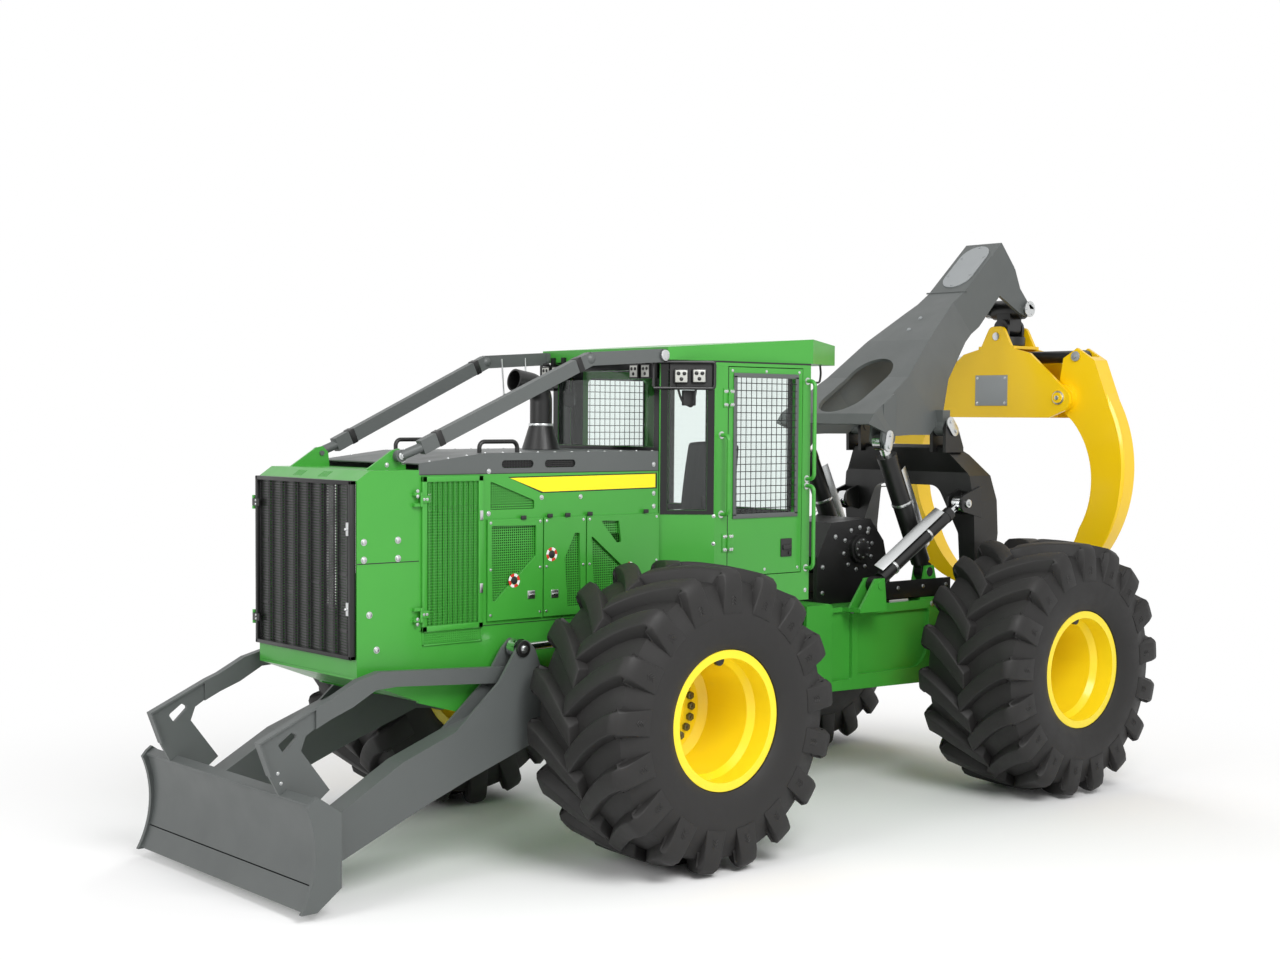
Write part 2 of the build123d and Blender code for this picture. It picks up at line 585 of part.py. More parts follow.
def cab_roof():
    half, front = CAB_HALF, CAB_FRONT - 20
    plan = outline([(-half + 130, front), (half - 130, front), (half, 1700), (half - 180, ROOF_REAR),
                    (180 - half, ROOF_REAR), (-half, 1700)])
    side = outline([(400, CAB_TOP), (400, CAB_TOP + 85), (1700, CAB_TOP + 175),
                    (ROOF_REAR + 10, CAB_TOP + 145), (ROOF_REAR + 10, CAB_TOP)])
    return along_z(plan, CAB_TOP, CAB_TOP + 200) & along_x(side, -half, half)


def seat():
    base = block((-190, 190), (1000, 1400), (CAB_FLOOR + 40, 1900))
    cushion = block((-260, 260), (960, 1460), (1900, 2030))
    back = along_x(outline([(1370, 2030), (1480, 2700), (1560, 2700), (1480, 2030)]), -250, 250)
    return base + cushion + back


def console():
    """Pedestal and sloping instrument desk ahead of the seat."""
    side = outline([(560, CAB_FLOOR + 40), (560, 2250), (620, 2290), (800, 2150), (800, 2060), (690, 2010),
                    (690, CAB_FLOOR + 40)])
    return along_x(side, -230, 230)


def air_intake():
    """Cone on the hood and an elbow pipe that opens forwards."""
    x, y = INTAKE
    shape = Pos(x, y, HOOD_TOP + 85) * Cone(135, 82, 170)
    way = [(x, y, HOOD_TOP + 168), (x, y, INTAKE_MOUTH[2] - 40), INTAKE_MOUTH]
    shape += tube(way, 78, 130)
    inward = Vector(*way[1]) - Vector(*way[2])
    mouth = Plane(way[2], z_dir=inward) * Pos(0, 0, 45) * Cylinder(66, 100)
    return shape - mouth


def work_lights():
    lamps = []
    for x in (430, 550):
        lamp = block((x - 45, x + 45), (335, 405), (3130, 3225))
        lamps.append(lamp + block((x - 15, x + 15), (395, 420), (3200, 3290)))
    return [*lamps, *[swap(lamp) for lamp in lamps]]


def rail(start, step, reach):
    """Round grab rail from start, out by step, along by reach, and back."""
    a, out, along = Vector(*start), Vector(*step), Vector(*reach)
    return tube([a, a + out, a + out + along, a + along], 14, 40)


def handrails():
    """Loops on the cab's rear pillars and hinge pillars: y, lower end, upper end."""
    rails = [rail((CAB_HALF, y, low), (75, 0, 0), (0, 0, high - low))
             for y, low, high in ((1645, 1790, 2380), (1645, 2430, 3130), (800, 2200, 2745))]
    return [*rails, *[swap(one) for one in rails]]


def hood_rails():
    """Bent grab bars along the front of the hood's top, which rises by 1 mm between their feet."""
    return pair(rail((480, -1000, HOOD_TOP - 4.55), (0, 0, 70), (0, 300, 1.03)))


def steps():
    """Ladder under each cab door."""
    x = (FRAME_HALF + 35, FRAME_HALF + 255)
    ladder = block((FRAME_HALF, x[0] + 20), (1060, 1420), (1080, 1300))
    for z in (760, 1080):
        ladder += block(x, (1060, 1420), (z, z + 20))
    for y in (1060, 1405):
        ladder += block(x, (y, y + 15), (760, CAB_FLOOR - 110))
    return pair(ladder)


def engine():
    return block((-330, 330), (-1150, 200), (ENGINE_BASE, 2250))


# ---- blade -----------------------------------------------------------------------------------
def blade():
    face = (
        Polyline((-2600, 60), (-2522, 60), (BLADE_REAR, 175), (BLADE_REAR, 600), (-2515, 700), (-2560, 672))
        + ThreePointArc((-2560, 672), (-2508, 420), (-2600, 60))
    )
    body = along_x(make_face(face), STEEL - BLADE_HALF, BLADE_HALF - STEEL)
    hollow = (
        Polyline((BLADE_REAR + 1, 215), (BLADE_REAR + 1, 560), (-2500, 640))
        + ThreePointArc((-2500, 640), (-2474, 420), (-2535, 130))
        + Polyline((-2535, 130), (-2510, 110), (BLADE_REAR + 1, 215))
    )
    for x0, x1 in BLADE_BAYS:
        body -= along_x(make_face(hollow), x0, x1)
    edge = (
        Polyline((-2623, 50), (-2522, 50), (BLADE_REAR, 170), (BLADE_REAR, 601), (-2521, 713), (-2557, 686),
                 (-2587, 650))
        + ThreePointArc((-2587, 650), (-2533, 420), (-2623, 50))
    )
    cheek = along_x(make_face(edge), BLADE_HALF - STEEL, BLADE_HALF)
    return body + cheek + swap(cheek)


def blade_arm():
    beam = outline([(ARM_PIVOT[0] + 60, 980), (-789, 1134), (-1406, 929), (-1796, 786), (-2222, 546),
                    (BLADE_REAR, 520), (BLADE_REAR, 240), (-2210, 260), (-1679, 483), (-1322, 619),
                    (-722, 826), (ARM_PIVOT[0] + 40, 800)])
    shape = along_x(beam, ARM_IN, ARM_OUT) + bar_x(110, (ARM_IN, ARM_OUT), ARM_PIVOT)
    crank = outline([(-722, 1000), (-684, 1103), (-800, 1398), (-877, 1470), (-950, 1398), (-1078, 1207),
                     (-1411, 925)],
                    [0, 0, 60, 40, 60, 0, 0])
    for x0 in (ARM_IN, ARM_OUT - CRANK):
        shape += along_x(crank, x0, x0 + CRANK)
    top = [(FRONT_END, 988), (-2311, 1167), (-2225, 1199), (-2044, 1291), (-1891, 1330), (-962, 1282)]
    under = [(-1008, 1183), (-1771, 1230), (-1922, 1222), (-2080, 1136), (-2225, 1082), (-2330, 1033)]
    front = [(-2391, 996), (-2422, 913), (-2230, 661), (-2360, 560), (-2560, 660), (-2628, 787)]
    horn = outline(top + under + front)
    eye = outline([(-2574, 963), (-2483, 1028), (-2440, 1002), (-2538, 910)], 14)
    shape += along_x(horn, *HORN_X) - along_x(eye, *HORN_FLANGE)
    shape += along_x(outline(top + under), *HORN_FLANGE) & block(HORN_FLANGE, (-2330, -950), (1000, 1400))
    for a, b in (((FRONT_END, 988), (-2311, 1167)), ((-2628, 787), (FRONT_END, 988))):
        shape += along_x(strip(a, b, 12), *HORN_FLANGE)
    shape -= bar_x(50 + RUN, (ARM_IN - 1, ARM_OUT + 1), ARM_PIVOT)
    return shape - blade()


# ---- rear half -------------------------------------------------------------------------------
def rear_frame():
    side = outline([(2000, REAR_BOTTOM), (2000, 1460), (2260, 1460), (2290, REAR_TOP), (REAR_END, REAR_TOP),
                    (REAR_END, 900), (WHEELBASE + 330, REAR_BOTTOM), (WHEELBASE + 300, TYRE_R + 250),
                    (WHEELBASE - 300, TYRE_R + 250), (WHEELBASE - 330, REAR_BOTTOM - 30)])
    member = along_x(side, REAR_HALF - REAR_WALL, REAR_HALF)
    recesses = (
        outline([(2278, 870), (2278, 1395), (2505, 1395), (2505, 870)], 20),
        outline([(2565, 900), (2565, 1360), (WHEELBASE - 330, 1360), (WHEELBASE - 360, 900)],
                [30, 30, 30, 180]),
        outline([(WHEELBASE + 335, 900), (WHEELBASE + 335, 1360), (REAR_END - 30, 1360),
                 (REAR_END - 30, 940)], 20),
    )
    for recess in recesses:
        member -= along_x(recess, REAR_HALF - REAR_WALL / 2, REAR_HALF + 1)
    member -= block((0, REAR_HALF - STEEL), (1999, 2231), (REAR_BOTTOM - 1, 1461))
    shape = both(member)
    wide = (REAR_WALL - REAR_HALF, REAR_HALF - REAR_WALL)
    for y, low in ((2230, REAR_BOTTOM), (WHEELBASE - 370, REAR_BOTTOM), (WHEELBASE + 340, REAR_BOTTOM + 50),
                   (REAR_END - STEEL, 900)):
        shape += block(wide, (y, y + STEEL), (low, REAR_TOP))
    shape -= both(block((110, wide[1]), (2229, 2231 + STEEL), (STEER_Z - 80, STEER_Z + 80)))
    shape += block(wide, (2230, REAR_END), (REAR_TOP - 20, REAR_TOP))
    ear = outline([(-REAR_HALF + 1, 2240), (-130, HITCH_Y), (-130, HITCH_Y - 130), (130, HITCH_Y - 130),
                   (130, HITCH_Y), (REAR_HALF - 1, 2240)], [0, 0, 129, 129, 0, 0])
    for low in HITCH_LUGS:
        for z in (low - 45, low + 55):
            shape += along_z(ear, z, z + 40)
        shape += bar_z(HITCH_PIN_R, (low - 50, low + 100), (0, HITCH_Y))
    shape += block((-45, 45), (2075, 2240), (HITCH_LUGS[0] + 94, HITCH_LUGS[1] - 44))
    x, y = STEER_EYE
    for z in (STEER_Z - 65, STEER_Z + 45):
        lug = block((x - 55, x + 55), (y, y + STEER_DRIFT + 20), (z, z + 20)) + bar_z(55, (z, z + 20), (x, y))
        head = sorted((z + 10, z + math.copysign(20, z - STEER_Z) + 10))
        shape += both(lug + bar_z(28, head, (x, y)))
    post = (y + STEER_DRIFT, y + STEER_DRIFT + 20)
    shape += both(block((x - 55, x + 55), post, (STEER_Z - 65, REAR_TOP - 19)))
    pad = block((380, 555), (WHEELBASE - 60, WHEELBASE + 60), (TYRE_R, TYRE_R + 251))
    shape += both(pad - bar_x(115 + SEAT, (0, 600), (WHEELBASE, TYRE_R)))
    return shape - bar_x(TIE_R, (-REAR_HALF - 1, REAR_HALF + 1), TIE_AT)


def arch_bracket():
    """Bracket and pin for an arch cylinder's base, seated on the side of the rear frame."""
    y, z = ARCH_BASE
    x = ARCH_CYL_X
    ear = outline([(y - 230, REAR_TOP - 1), (y - 60, z + 50), (y + 45, z + 50), (y + 70, REAR_TOP - 1)])
    shape = block((REAR_HALF + SEAT, x + 63), (y - 230, y + 70), (REAR_TOP - 30, REAR_TOP))
    for x0 in (x - 63, x + 43):
        shape += along_x(ear, x0, x0 + 20)
    return shape + bar_x(35, (x - 70, x + 70), ARCH_BASE)


def boom_bracket():
    """Bored ears for a boom cylinder's base pin, seated on top of the rear frame."""
    y, z = BOOM_BASE
    seat = REAR_TOP + SEAT
    ear = outline([(y - 110, seat), (y - 50, z + 50), (y + 50, z + 50), (y + 130, seat)])
    shape = block((BOOM_CYL_X - 63, BOOM_CYL_X + 63), (y - 110, y + 130), (seat, seat + 20))
    for x0 in (BOOM_CYL_X - 63, BOOM_CYL_X + 43):
        shape += along_x(ear, x0, x0 + 20)
    return shape - bar_x(38 + RUN, (BOOM_CYL_X - 64, BOOM_CYL_X + 64), BOOM_BASE)


def arch_pivot():
    """Stub that one leg of the arch turns on, seated on the side of the rear frame."""
    seat = REAR_HALF + SEAT
    return bar_x(95, (seat, REAR_HALF + 14), ARCH_PIVOT) + bar_x(60, (seat, REAR_HALF + 170), ARCH_PIVOT)


def boom_pins():
    """Base pins of the boom cylinders, which turn in their brackets."""
    return pair(bar_x(38, (BOOM_CYL_X - 66, BOOM_CYL_X + 66), BOOM_BASE))


def winch():
    """Winch: two side plates with round bearing covers, a flanged drum and a top guard."""
    y = WHEELBASE - 940
    side = outline(shift([(-1400, REAR_TOP), (-1400, 1800), (-1250, 2060), (-800, 2080), (-640, 1900),
                          (-560, 1600), (-560, REAR_TOP)], WHEELBASE))
    shape = both(along_x(side, 240, 280) + bar_x(110, (279, 320), (y, 1850)))
    shape += both(bar_x(190, (200, 241), (y, 1760)))
    shape += bar_x(110, (-201, 201), (y, 1760))
    guard = outline(shift([(-1400, 1800), (-1250, 2060), (-800, 2080), (-640, 1900), (-655, 1885),
                           (-806, 2060), (-1238, 2041), (-1385, 1790)], WHEELBASE))
    shape += along_x(guard, -241, 241)
    return shape + block((-241, 241), (WHEELBASE - 1400, WHEELBASE - 560), (REAR_TOP, REAR_TOP + 40))


def arch():
    half = 697
    outer = [(464, 2660), (665, 2413), (half, 2215), (660, 1180), (520, 1180)]
    inner = [(520, 1950), (330, 2330)]
    front = outline([(-x, z) for x, z in outer] + [(-x, z) for x, z in inner] + inner[::-1] + outer[::-1],
                    [0] * 5 + [60, 120, 120, 60] + [0] * 5)
    y = WHEELBASE
    side = outline([(y - 160, 2634), (y - 70, 2696), (y + 220, 2501), (y + 303, 2112), (y + 274, 1838),
                    (y + 290, 1200), (y + 110, 1200), (y + 10, 1690), (y - 60, 2440)])
    shape = along_y(front, y - 200, y + 400) & along_x(side, -800, 800)
    shape += both(bar_x(100, (520, 660), ARCH_PIVOT))
    shape -= block((-345, 345), (y + 2, y + 400), (2300, 2750))
    slope = Plane((half, y + 222, 2440), z_dir=(-0.593, 1, 0.14))    # clears the tongs as the grapple turns
    behind = slope * Pos(0, 0, 600) * Box(2600, 2600, 1200)
    shape -= both(behind & block((345, half + 100), (y - 200, y + 500), (1500, 3000)))
    py, pz = BOOM_PIVOT
    ear = outline([(py - 70, 2600), (py - 75, pz), (py, pz + 77), (py + 75, pz), (py + 150, 2640),
                   (py + 150, 2600)],
                  [0, 50, 50, 50, 0, 0])
    for x0 in (370, 506):
        shape += both(along_x(ear, x0, x0 + 30))
    shape += both(bar_x(40, (365, 545), BOOM_PIVOT))
    ey, ez = ARCH_EYE
    lug = outline([(ey - 70, ez - 60), (ey - 70, ez + 60), (y + 40, 2330), (y + 60, 2080)], [40, 40, 0, 0])
    shape -= both(block((ARCH_CYL_X - 60, ARCH_CYL_X + 60), (y - 300, ey + 85), (ez - 120, ez + 90)))
    for x0 in (ARCH_CYL_X - 80, ARCH_CYL_X + 60):
        shape += both(along_x(lug, x0, x0 + 20))
    return shape - both(bar_x(60 + RUN, (500, 690), ARCH_PIVOT))


def boom():
    y = WHEELBASE
    side = outline(shift([(-1080, 2825), (-1020, 2905), (-550, 3198), (-180, 3507), (160, 3744), (425, 3923),
                          (915, 4365), (1104, 4156), (1033, 4049), (629, 3642), (415, 3509), (55, 3191),
                          (-90, 2900), (-300, 2740), (-560, 2740), (-800, 2730)], y),
                   [0] * 7 + [30] + [0] * 8)
    angle = math.radians(BOOM_ANGLE)
    lie = Plane((0, *BOOM_PIVOT), x_dir=(0, math.cos(angle), math.sin(angle)),
                z_dir=(0, -math.sin(angle), math.cos(angle)))
    edge = [(-700, 500), (-560, 500), (-30, 435), (410, 340), (1010, 190), (2100, 190)]
    cell = [(-720, 475), (-550, 475), (-30, 410), (410, 315), (900, 190)]
    plan = outline([(u, -v) for u, v in edge] + edge[::-1])
    pocket = outline([(u, -v) for u, v in cell] + cell[::-1])
    under = outline(shift([(-1090, 2700), (-1080, 2795), (-1005, 2875), (-535, 3175), (-170, 3480),
                           (190, 3720), (560, 3300), (200, 2700)], y))
    shape = along_x(side, -600, 600) & extrude(lie * plan, 900, both=True)
    shape -= along_x(under, -600, 600) & extrude(lie * pocket, 900, both=True)
    window = lie * Pos(-170, 0, 0) * SlotOverall(760, 430)
    shape -= extrude(window, 900)
    ey, ez = BOOM_EYE
    hook = outline([(ey - 75, ez), (ey - 60, 2830), (ey + 90, 2830), (ey + 75, ez), (ey, ez - 75)],
                   [40, 0, 0, 40, 40])
    shape -= both(bar_x(115, (BOOM_CYL_X - 43, BOOM_CYL_X + 43), BOOM_EYE))
    web = outline([(ey - 60, 2800), (ey - 60, 3060), (ey + 90, 3060), (ey + 90, 2800)])
    for x0 in (BOOM_CYL_X - 68, BOOM_CYL_X + 43):
        shape += both(along_x(hook, x0, x0 + 25) + (along_x(web, x0, x0 + 25) & along_x(side, x0, x0 + 25)))
    py, pz = BOOM_PIVOT
    shape += both(bar_x(78, (405, 500), BOOM_PIVOT) + block((405, 500), (py - 70, py + 20), (pz, pz + 130)))
    for x0 in (365, 501):
        shape -= both(bar_x(95, (x0, x0 + 38), BOOM_PIVOT))
    shape -= both(bar_x(40 + RUN, (300, 560), BOOM_PIVOT))
    ly, lz = LINK_PIN
    tip = outline([(y + 950, 4150), (y + 1104, 4156), (y + 1180, 3990), (ly + 70, lz), (ly, lz - 70),
                   (ly - 100, lz - 40), (y + 880, 3930)])
    return shape + both(along_x(tip, 155, 190)) - bar_x(45 + RUN, (-200, 200), LINK_PIN)


def link_pin():
    """Pin through the boom tip that the crosshead swings on."""
    return bar_x(45, (-215, 215), LINK_PIN)


def crosshead():
    """Link that hangs from the boom tip and carries the rotator on a cross pin."""
    y, z = LINK_PIN
    body = bar_x(85, (-148, 148), LINK_PIN) + block((-70, 70), (y - 80, y + 80), (z - ROTATOR_DROP, z))
    body += bar_y(70, (y - 80, y + 80), (0, z - ROTATOR_DROP))
    body -= bar_x(45 + RUN, (-150, 150), LINK_PIN)
    return body - bar_y(40 + RUN, (y - 90, y + 90), (0, z - ROTATOR_DROP))


def rotator():
    y, z = LINK_PIN[0], LINK_PIN[1] - ROTATOR_DROP
    shape = bar_z(140, (z - 150, z - 78), (0, y))
    for y0 in (y - 115, y + 86):
        shape += block((-75, 75), (y0, y0 + 29), (z - 79, z)) + bar_y(75, (y0, y0 + 29), (0, z))
    shape += bar_y(40, (y - 120, y + 120), (0, z))
    return shape - bar_z(60 + RUN, (z - 151, z - 100), (0, y))


def head_outline():
    """Front plate of the head, round both tong pivots and the hump on top."""
    half = [(560, 2885), (760, 2960), (775, 3080), (357, 3433), (170, 3480), (70, 3670)]
    radii = [0, 90, 90, 0, 0, 60]
    return outline(half + [(-x, z) for x, z in reversed(half)], radii + radii[::-1])


def grapple_head():
    y, z = GRAPPLE_Y, LINK_PIN[1] - ROTATOR_DROP
    shape = along_y(head_outline(), y - HEAD_HALF, y - HEAD_HALF + STEEL)
    shape += mirror(shape, Plane.XZ.offset(-y))
    gap = (y - HEAD_HALF + 1, y + HEAD_HALF - 1)
    shape += block((-430, 430), gap, (2885, 2915))
    shape += block((-190, 190), gap, (z - 185, z - 160))
    shape += bar_z(110, (z - 161, z - 155), (0, y)) + bar_z(60, (z - 161, z - 105), (0, y))
    return shape + both(bar_y(45, (gap[0] - 26, gap[1] + 26), TONG_PIVOT))


def tong(pin):
    """Left tong; pin is half the length of the pin it holds in its upper ears, or 0 for heads alone."""
    half = TONG_W / 2
    y = GRAPPLE_Y
    profile = (
        Polyline((740, 2860), (560, 3010), (600, 3160), (640, 3385), (776, 3470), (950, 3365), (1060, 3090))
        + ThreePointArc((1060, 3090), (TONG_REACH, 2440), (1033, 1789))
        + ThreePointArc((1033, 1789), (760, 1540), (420, 1400))
        + Line((420, 1400), (400, 1450))
        + ThreePointArc((400, 1450), (640, 1650), (820, 1960))
        + ThreePointArc((820, 1960), (935, 2440), (740, 2860))
    )
    shape = along_y(make_face(profile), y - half, y + half)
    outer = [edge for edge in shape.edges().filter_by(GeomType.CIRCLE) if (edge @ 0.5).X > 1000]
    shape = chamfer(outer, TONG_BEVEL)
    taper = outline([(y - half, 3500), (y + half, 3500), (y + half, 2300), (y + 0.7 * half, 1390),
                     (y - 0.7 * half, 1390), (y - half, 2300)])
    shape &= along_x(taper, 0, 1400)
    shape += bar_y(115, (y - HEAD_HALF + STEEL + 5, y + HEAD_HALF - STEEL - 5), TONG_PIVOT)
    shape -= block((600, 900), (y - 60, y + 60), (3290, 3500))
    for cap in ((y - half - 10, y - half + 1), (y + half - 1, y + half + 10)):
        shape += bar_y(30, cap, TONG_EYE)
    if pin:
        shape += bar_y(30, (y - pin, y + pin), TONG_EYE)
    return shape - bar_y(45 + RUN, (y - 300, y + 300), TONG_PIVOT)


def grapple_cylinder():
    """Cylinder across the head, between the tongs' upper ears."""
    x, z = TONG_EYE
    return cylinder(Vector(x, GRAPPLE_Y, z), Vector(-x, GRAPPLE_Y, z), (0, 1, 0), 40, 28, 580, 55, 100, 30)


# ---- the machine -----------------------------------------------------------------------------
BOOM_FREE = 25          # gap between the boom cylinder's piston and rod, which are two bodies
# name: x, base (y, z), eye (y, z), bore radius, rod radius, retraction, eye radius, pin radius
CYLINDERS = {
    "blade": (BLADE_CYL_X, BLADE_BASE, BLADE_EYE, 42, 28, 305, 60, 35),
    "arch": (ARCH_CYL_X, ARCH_BASE, ARCH_EYE, 40, 30, 85, 60, 35),
    "boom": (BOOM_CYL_X, BOOM_BASE, BOOM_EYE, 64, 40, 48, 75, 38),
}


def build():
    parts = {}
    wheels(parts)
    parts["front_frame"] = [front_frame(), *hitch(), *pair(arm_pivot()), *pair(blade_bracket())]
    parts["front_axle"] = [front_axle()]
    parts["engine"] = [engine()]
    parts["cowl"] = [cowl()]
    parts["hood_top"] = [hood_top()]
    parts["hood_sides"] = pair(hood_sides())
    parts["service_panels"] = service_panels()
    parts["front_screen"] = [front_screen()]
    parts["cab_mounts"] = cab_mounts()
    parts["air_intake"] = [air_intake()]
    parts["hood_rails"] = hood_rails()
    parts["limb_risers"] = pair(limb_risers())
    parts["cab_shell"] = cab_shell()
    parts["cab_roof"] = [cab_roof()]
    parts["cab_glass"] = cab_glass()
    parts["cab_seat"] = [seat()]
    parts["cab_console"] = [console()]
    parts["work_lights"] = work_lights()
    parts["steps_and_rails"] = [*steps(), *handrails()]
    doors = (("cab_door", cab_door()), ("door_glass", [door_glass()]), ("side_screen", [side_screen()]))
    for name, made in doors:
        parts[f"left_{name}"], parts[f"right_{name}"] = made, [swap(one) for one in made]
    parts["blade"] = [blade()]
    parts["blade_arms"] = pair(blade_arm())
    mounts = (arch_bracket(), boom_bracket(), arch_pivot())
    parts["rear_frame"] = [rear_frame(), *[one for mount in mounts for one in pair(mount)]]
    parts["rear_axle"] = [axle(WHEELBASE)]
    parts["winch"] = [winch()]
    parts["arch"] = [arch()]
    parts["boom"] = [boom()]
    for name, (x, base, eye, bore, rod_r, retract, eye_r, pin_r) in CYLINDERS.items():
        free = BOOM_FREE if name == "boom" else 0
        ends = Vector(x, *base), Vector(x, *eye)
        barrel, piston, stem = cylinder(*ends, (1, 0, 0), bore, rod_r, retract, eye_r, 76, pin_r, free)
        parts[f"{name}_barrels"] = pair(barrel)
        if free:
            parts[f"{name}_pistons"], parts[f"{name}_rods"] = pair(piston), pair(stem)
        else:
            parts[f"{name}_rods"] = pair(piston + stem)
    parts["boom_pins"] = boom_pins()
    parts["link_pin"] = [link_pin()]
    ends = Vector(*STEER_BASE, STEER_Z), Vector(*STEER_EYE, STEER_Z)
    barrel, piston, stem = cylinder(*ends, (0, 0, 1), 36, 24, 270, 50, 80, 28)
    for name, made in (("steering_barrel", barrel), ("steering_rod", piston + stem)):
        parts[f"left_{name}"], parts[f"right_{name}"] = [made], [swap(made)]
    parts["crosshead"] = [crosshead()]
    parts["rotator"] = [rotator()]
    parts["grapple_head"] = [grapple_head()]
    parts["left_tong"] = [tong(TONG_W / 2 + 10)]
    parts["right_tong"] = [swap(tong(0))]
    barrel, piston, stem = grapple_cylinder()
    parts["grapple_barrel"], parts["grapple_rod"] = [barrel], [piston + stem]
    return parts


def main():
    os.makedirs("parts", exist_ok=True)
    for name, shapes in build().items():
        solids = [solid for shape in shapes for solid in shape.solids()]
        placed = Pos(0, Y_SHIFT, 0) * Compound(children=solids)
        export_step(placed, f"parts/{name}.step")


if __name__ == "__main__":
    main()
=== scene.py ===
"""Looks of a four-wheel grapple skidder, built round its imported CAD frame.

Lengths are in metres. Places are written from the ground under the front axle, with the machine's
left side at +X and its nose at -Y, and Site.axle_y carries them into the frame.
"""

import logging
import math
from dataclasses import dataclass, field
from enum import Enum
from typing import Callable, Iterable, Sequence

import bmesh
import bpy
from mathutils import Matrix, Vector
from mathutils.bvhtree import BVHTree


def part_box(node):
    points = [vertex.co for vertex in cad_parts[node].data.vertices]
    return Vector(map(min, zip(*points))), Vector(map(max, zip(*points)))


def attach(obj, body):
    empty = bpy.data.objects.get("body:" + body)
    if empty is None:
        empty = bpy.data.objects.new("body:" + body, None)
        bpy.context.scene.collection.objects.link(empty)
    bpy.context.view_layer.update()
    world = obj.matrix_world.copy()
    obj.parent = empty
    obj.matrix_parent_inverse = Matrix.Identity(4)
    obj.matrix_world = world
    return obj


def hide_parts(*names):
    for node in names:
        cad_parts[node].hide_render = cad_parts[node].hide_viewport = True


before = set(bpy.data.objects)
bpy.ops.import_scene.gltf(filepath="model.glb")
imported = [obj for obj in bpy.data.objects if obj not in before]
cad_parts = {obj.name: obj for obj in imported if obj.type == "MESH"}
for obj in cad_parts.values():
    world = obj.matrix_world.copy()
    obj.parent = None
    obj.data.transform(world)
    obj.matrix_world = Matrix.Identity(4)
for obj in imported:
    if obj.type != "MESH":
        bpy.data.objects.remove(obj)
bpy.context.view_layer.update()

LOG = logging.getLogger("skidder")
Point = Sequence[float]


# ---- colour and material tools ------------------------------------------------------------------
def linear(code: str, alpha: float = 1.0) -> tuple[float, float, float, float]:
    """Turn an sRGB hex code into a linear colour.

    Args:
        code: six hex digits, such as "4FB648".
        alpha: opacity to add as the fourth value.

    Returns:
        Linear red, green, blue and alpha.
    """
    parts = [int(code[i:i + 2], 16) / 255 for i in (0, 2, 4)]
    red, green, blue = [p / 12.92 if p <= 0.04045 else ((p + 0.055) / 1.055) ** 2.4 for p in parts]
    return red, green, blue, alpha


def add_node(tree: bpy.types.NodeTree, kind: str, links: dict | None = None, **settings: object) -> bpy.types.Node:
    """Add one shader node with its settings and links.

    Args:
        tree: node tree that gets the node.
        kind: Blender's node type, such as "ShaderNodeTexNoise".
        links: input name or index to a value, or to an output socket.
        settings: attributes of the node.

    Returns:
        The new node.
    """
    made = tree.nodes.new(kind)
    for name, value in settings.items():
        setattr(made, name, value)
    for name, value in (links or {}).items():
        if isinstance(value, bpy.types.NodeSocket):
            tree.links.new(value, made.inputs[name])
        else:
            made.inputs[name].default_value = value
    return made


def blank_material(name: str) -> tuple[bpy.types.Material, bpy.types.NodeTree, bpy.types.Node]:
    """Make a material with one Principled shader.

    Args:
        name: the material's name.

    Returns:
        The material, its node tree and its shader.
    """
    made = bpy.data.materials.new(name)
    made.use_nodes = True
    tree = made.node_tree
    tree.nodes.clear()
    shader = add_node(tree, "ShaderNodeBsdfPrincipled")
    add_node(tree, "ShaderNodeOutputMaterial", {"Surface": shader.outputs[0]})
    return made, tree, shader


@dataclass(frozen=True)
class Enamel:
    """Two-pack enamel sprayed over shot-blasted steel.

    The eye sees a smooth colour with faint orange peel, a thin haze of dust that dulls the gloss
    in patches, and edges softened by the film's thickness.
    """

    name: str
    colour: str
    shade: str
    roughness: float = 0.32
    coat: float = 0.25
    peel_mm: float = 9.0
    edge_mm: float = 2.5

    def material(self) -> bpy.types.Material:
        """Build the shader."""
        made, tree, shader = blank_material(self.name)
        place = add_node(tree, "ShaderNodeTexCoord").outputs["Object"]
        drift = add_node(tree, "ShaderNodeTexNoise", {"Vector": place, "Scale": 1.3, "Detail": 3.0, "Roughness": 0.6})
        tone = add_node(tree, "ShaderNodeMix", {0: drift.outputs[0], 6: linear(self.colour), 7: linear(self.shade)},
                        data_type="RGBA")
        haze = add_node(tree, "ShaderNodeTexNoise", {"Vector": place, "Scale": 5.0, "Detail": 4.0})
        gloss = add_node(tree, "ShaderNodeMapRange", {0: haze.outputs[0], 1: 0.3, 2: 0.75, 3: self.roughness,
                                                      4: self.roughness + 0.12})
        peel = add_node(tree, "ShaderNodeTexNoise", {"Vector": place, "Scale": 1000 / self.peel_mm, "Detail": 1.0})
        edge = add_node(tree, "ShaderNodeBevel", {"Radius": self.edge_mm / 1000}, samples=4)
        bump = add_node(tree, "ShaderNodeBump", {"Height": peel.outputs[0], "Normal": edge.outputs[0],
                                                 "Strength": 0.05, "Distance": 0.002})
        tree.links.new(tone.outputs[2], shader.inputs["Base Color"])
        tree.links.new(gloss.outputs[0], shader.inputs["Roughness"])
        tree.links.new(bump.outputs[0], shader.inputs["Normal"])
        shader.inputs["Coat Weight"].default_value = self.coat
        shader.inputs["Coat Roughness"].default_value = 0.12
        return made


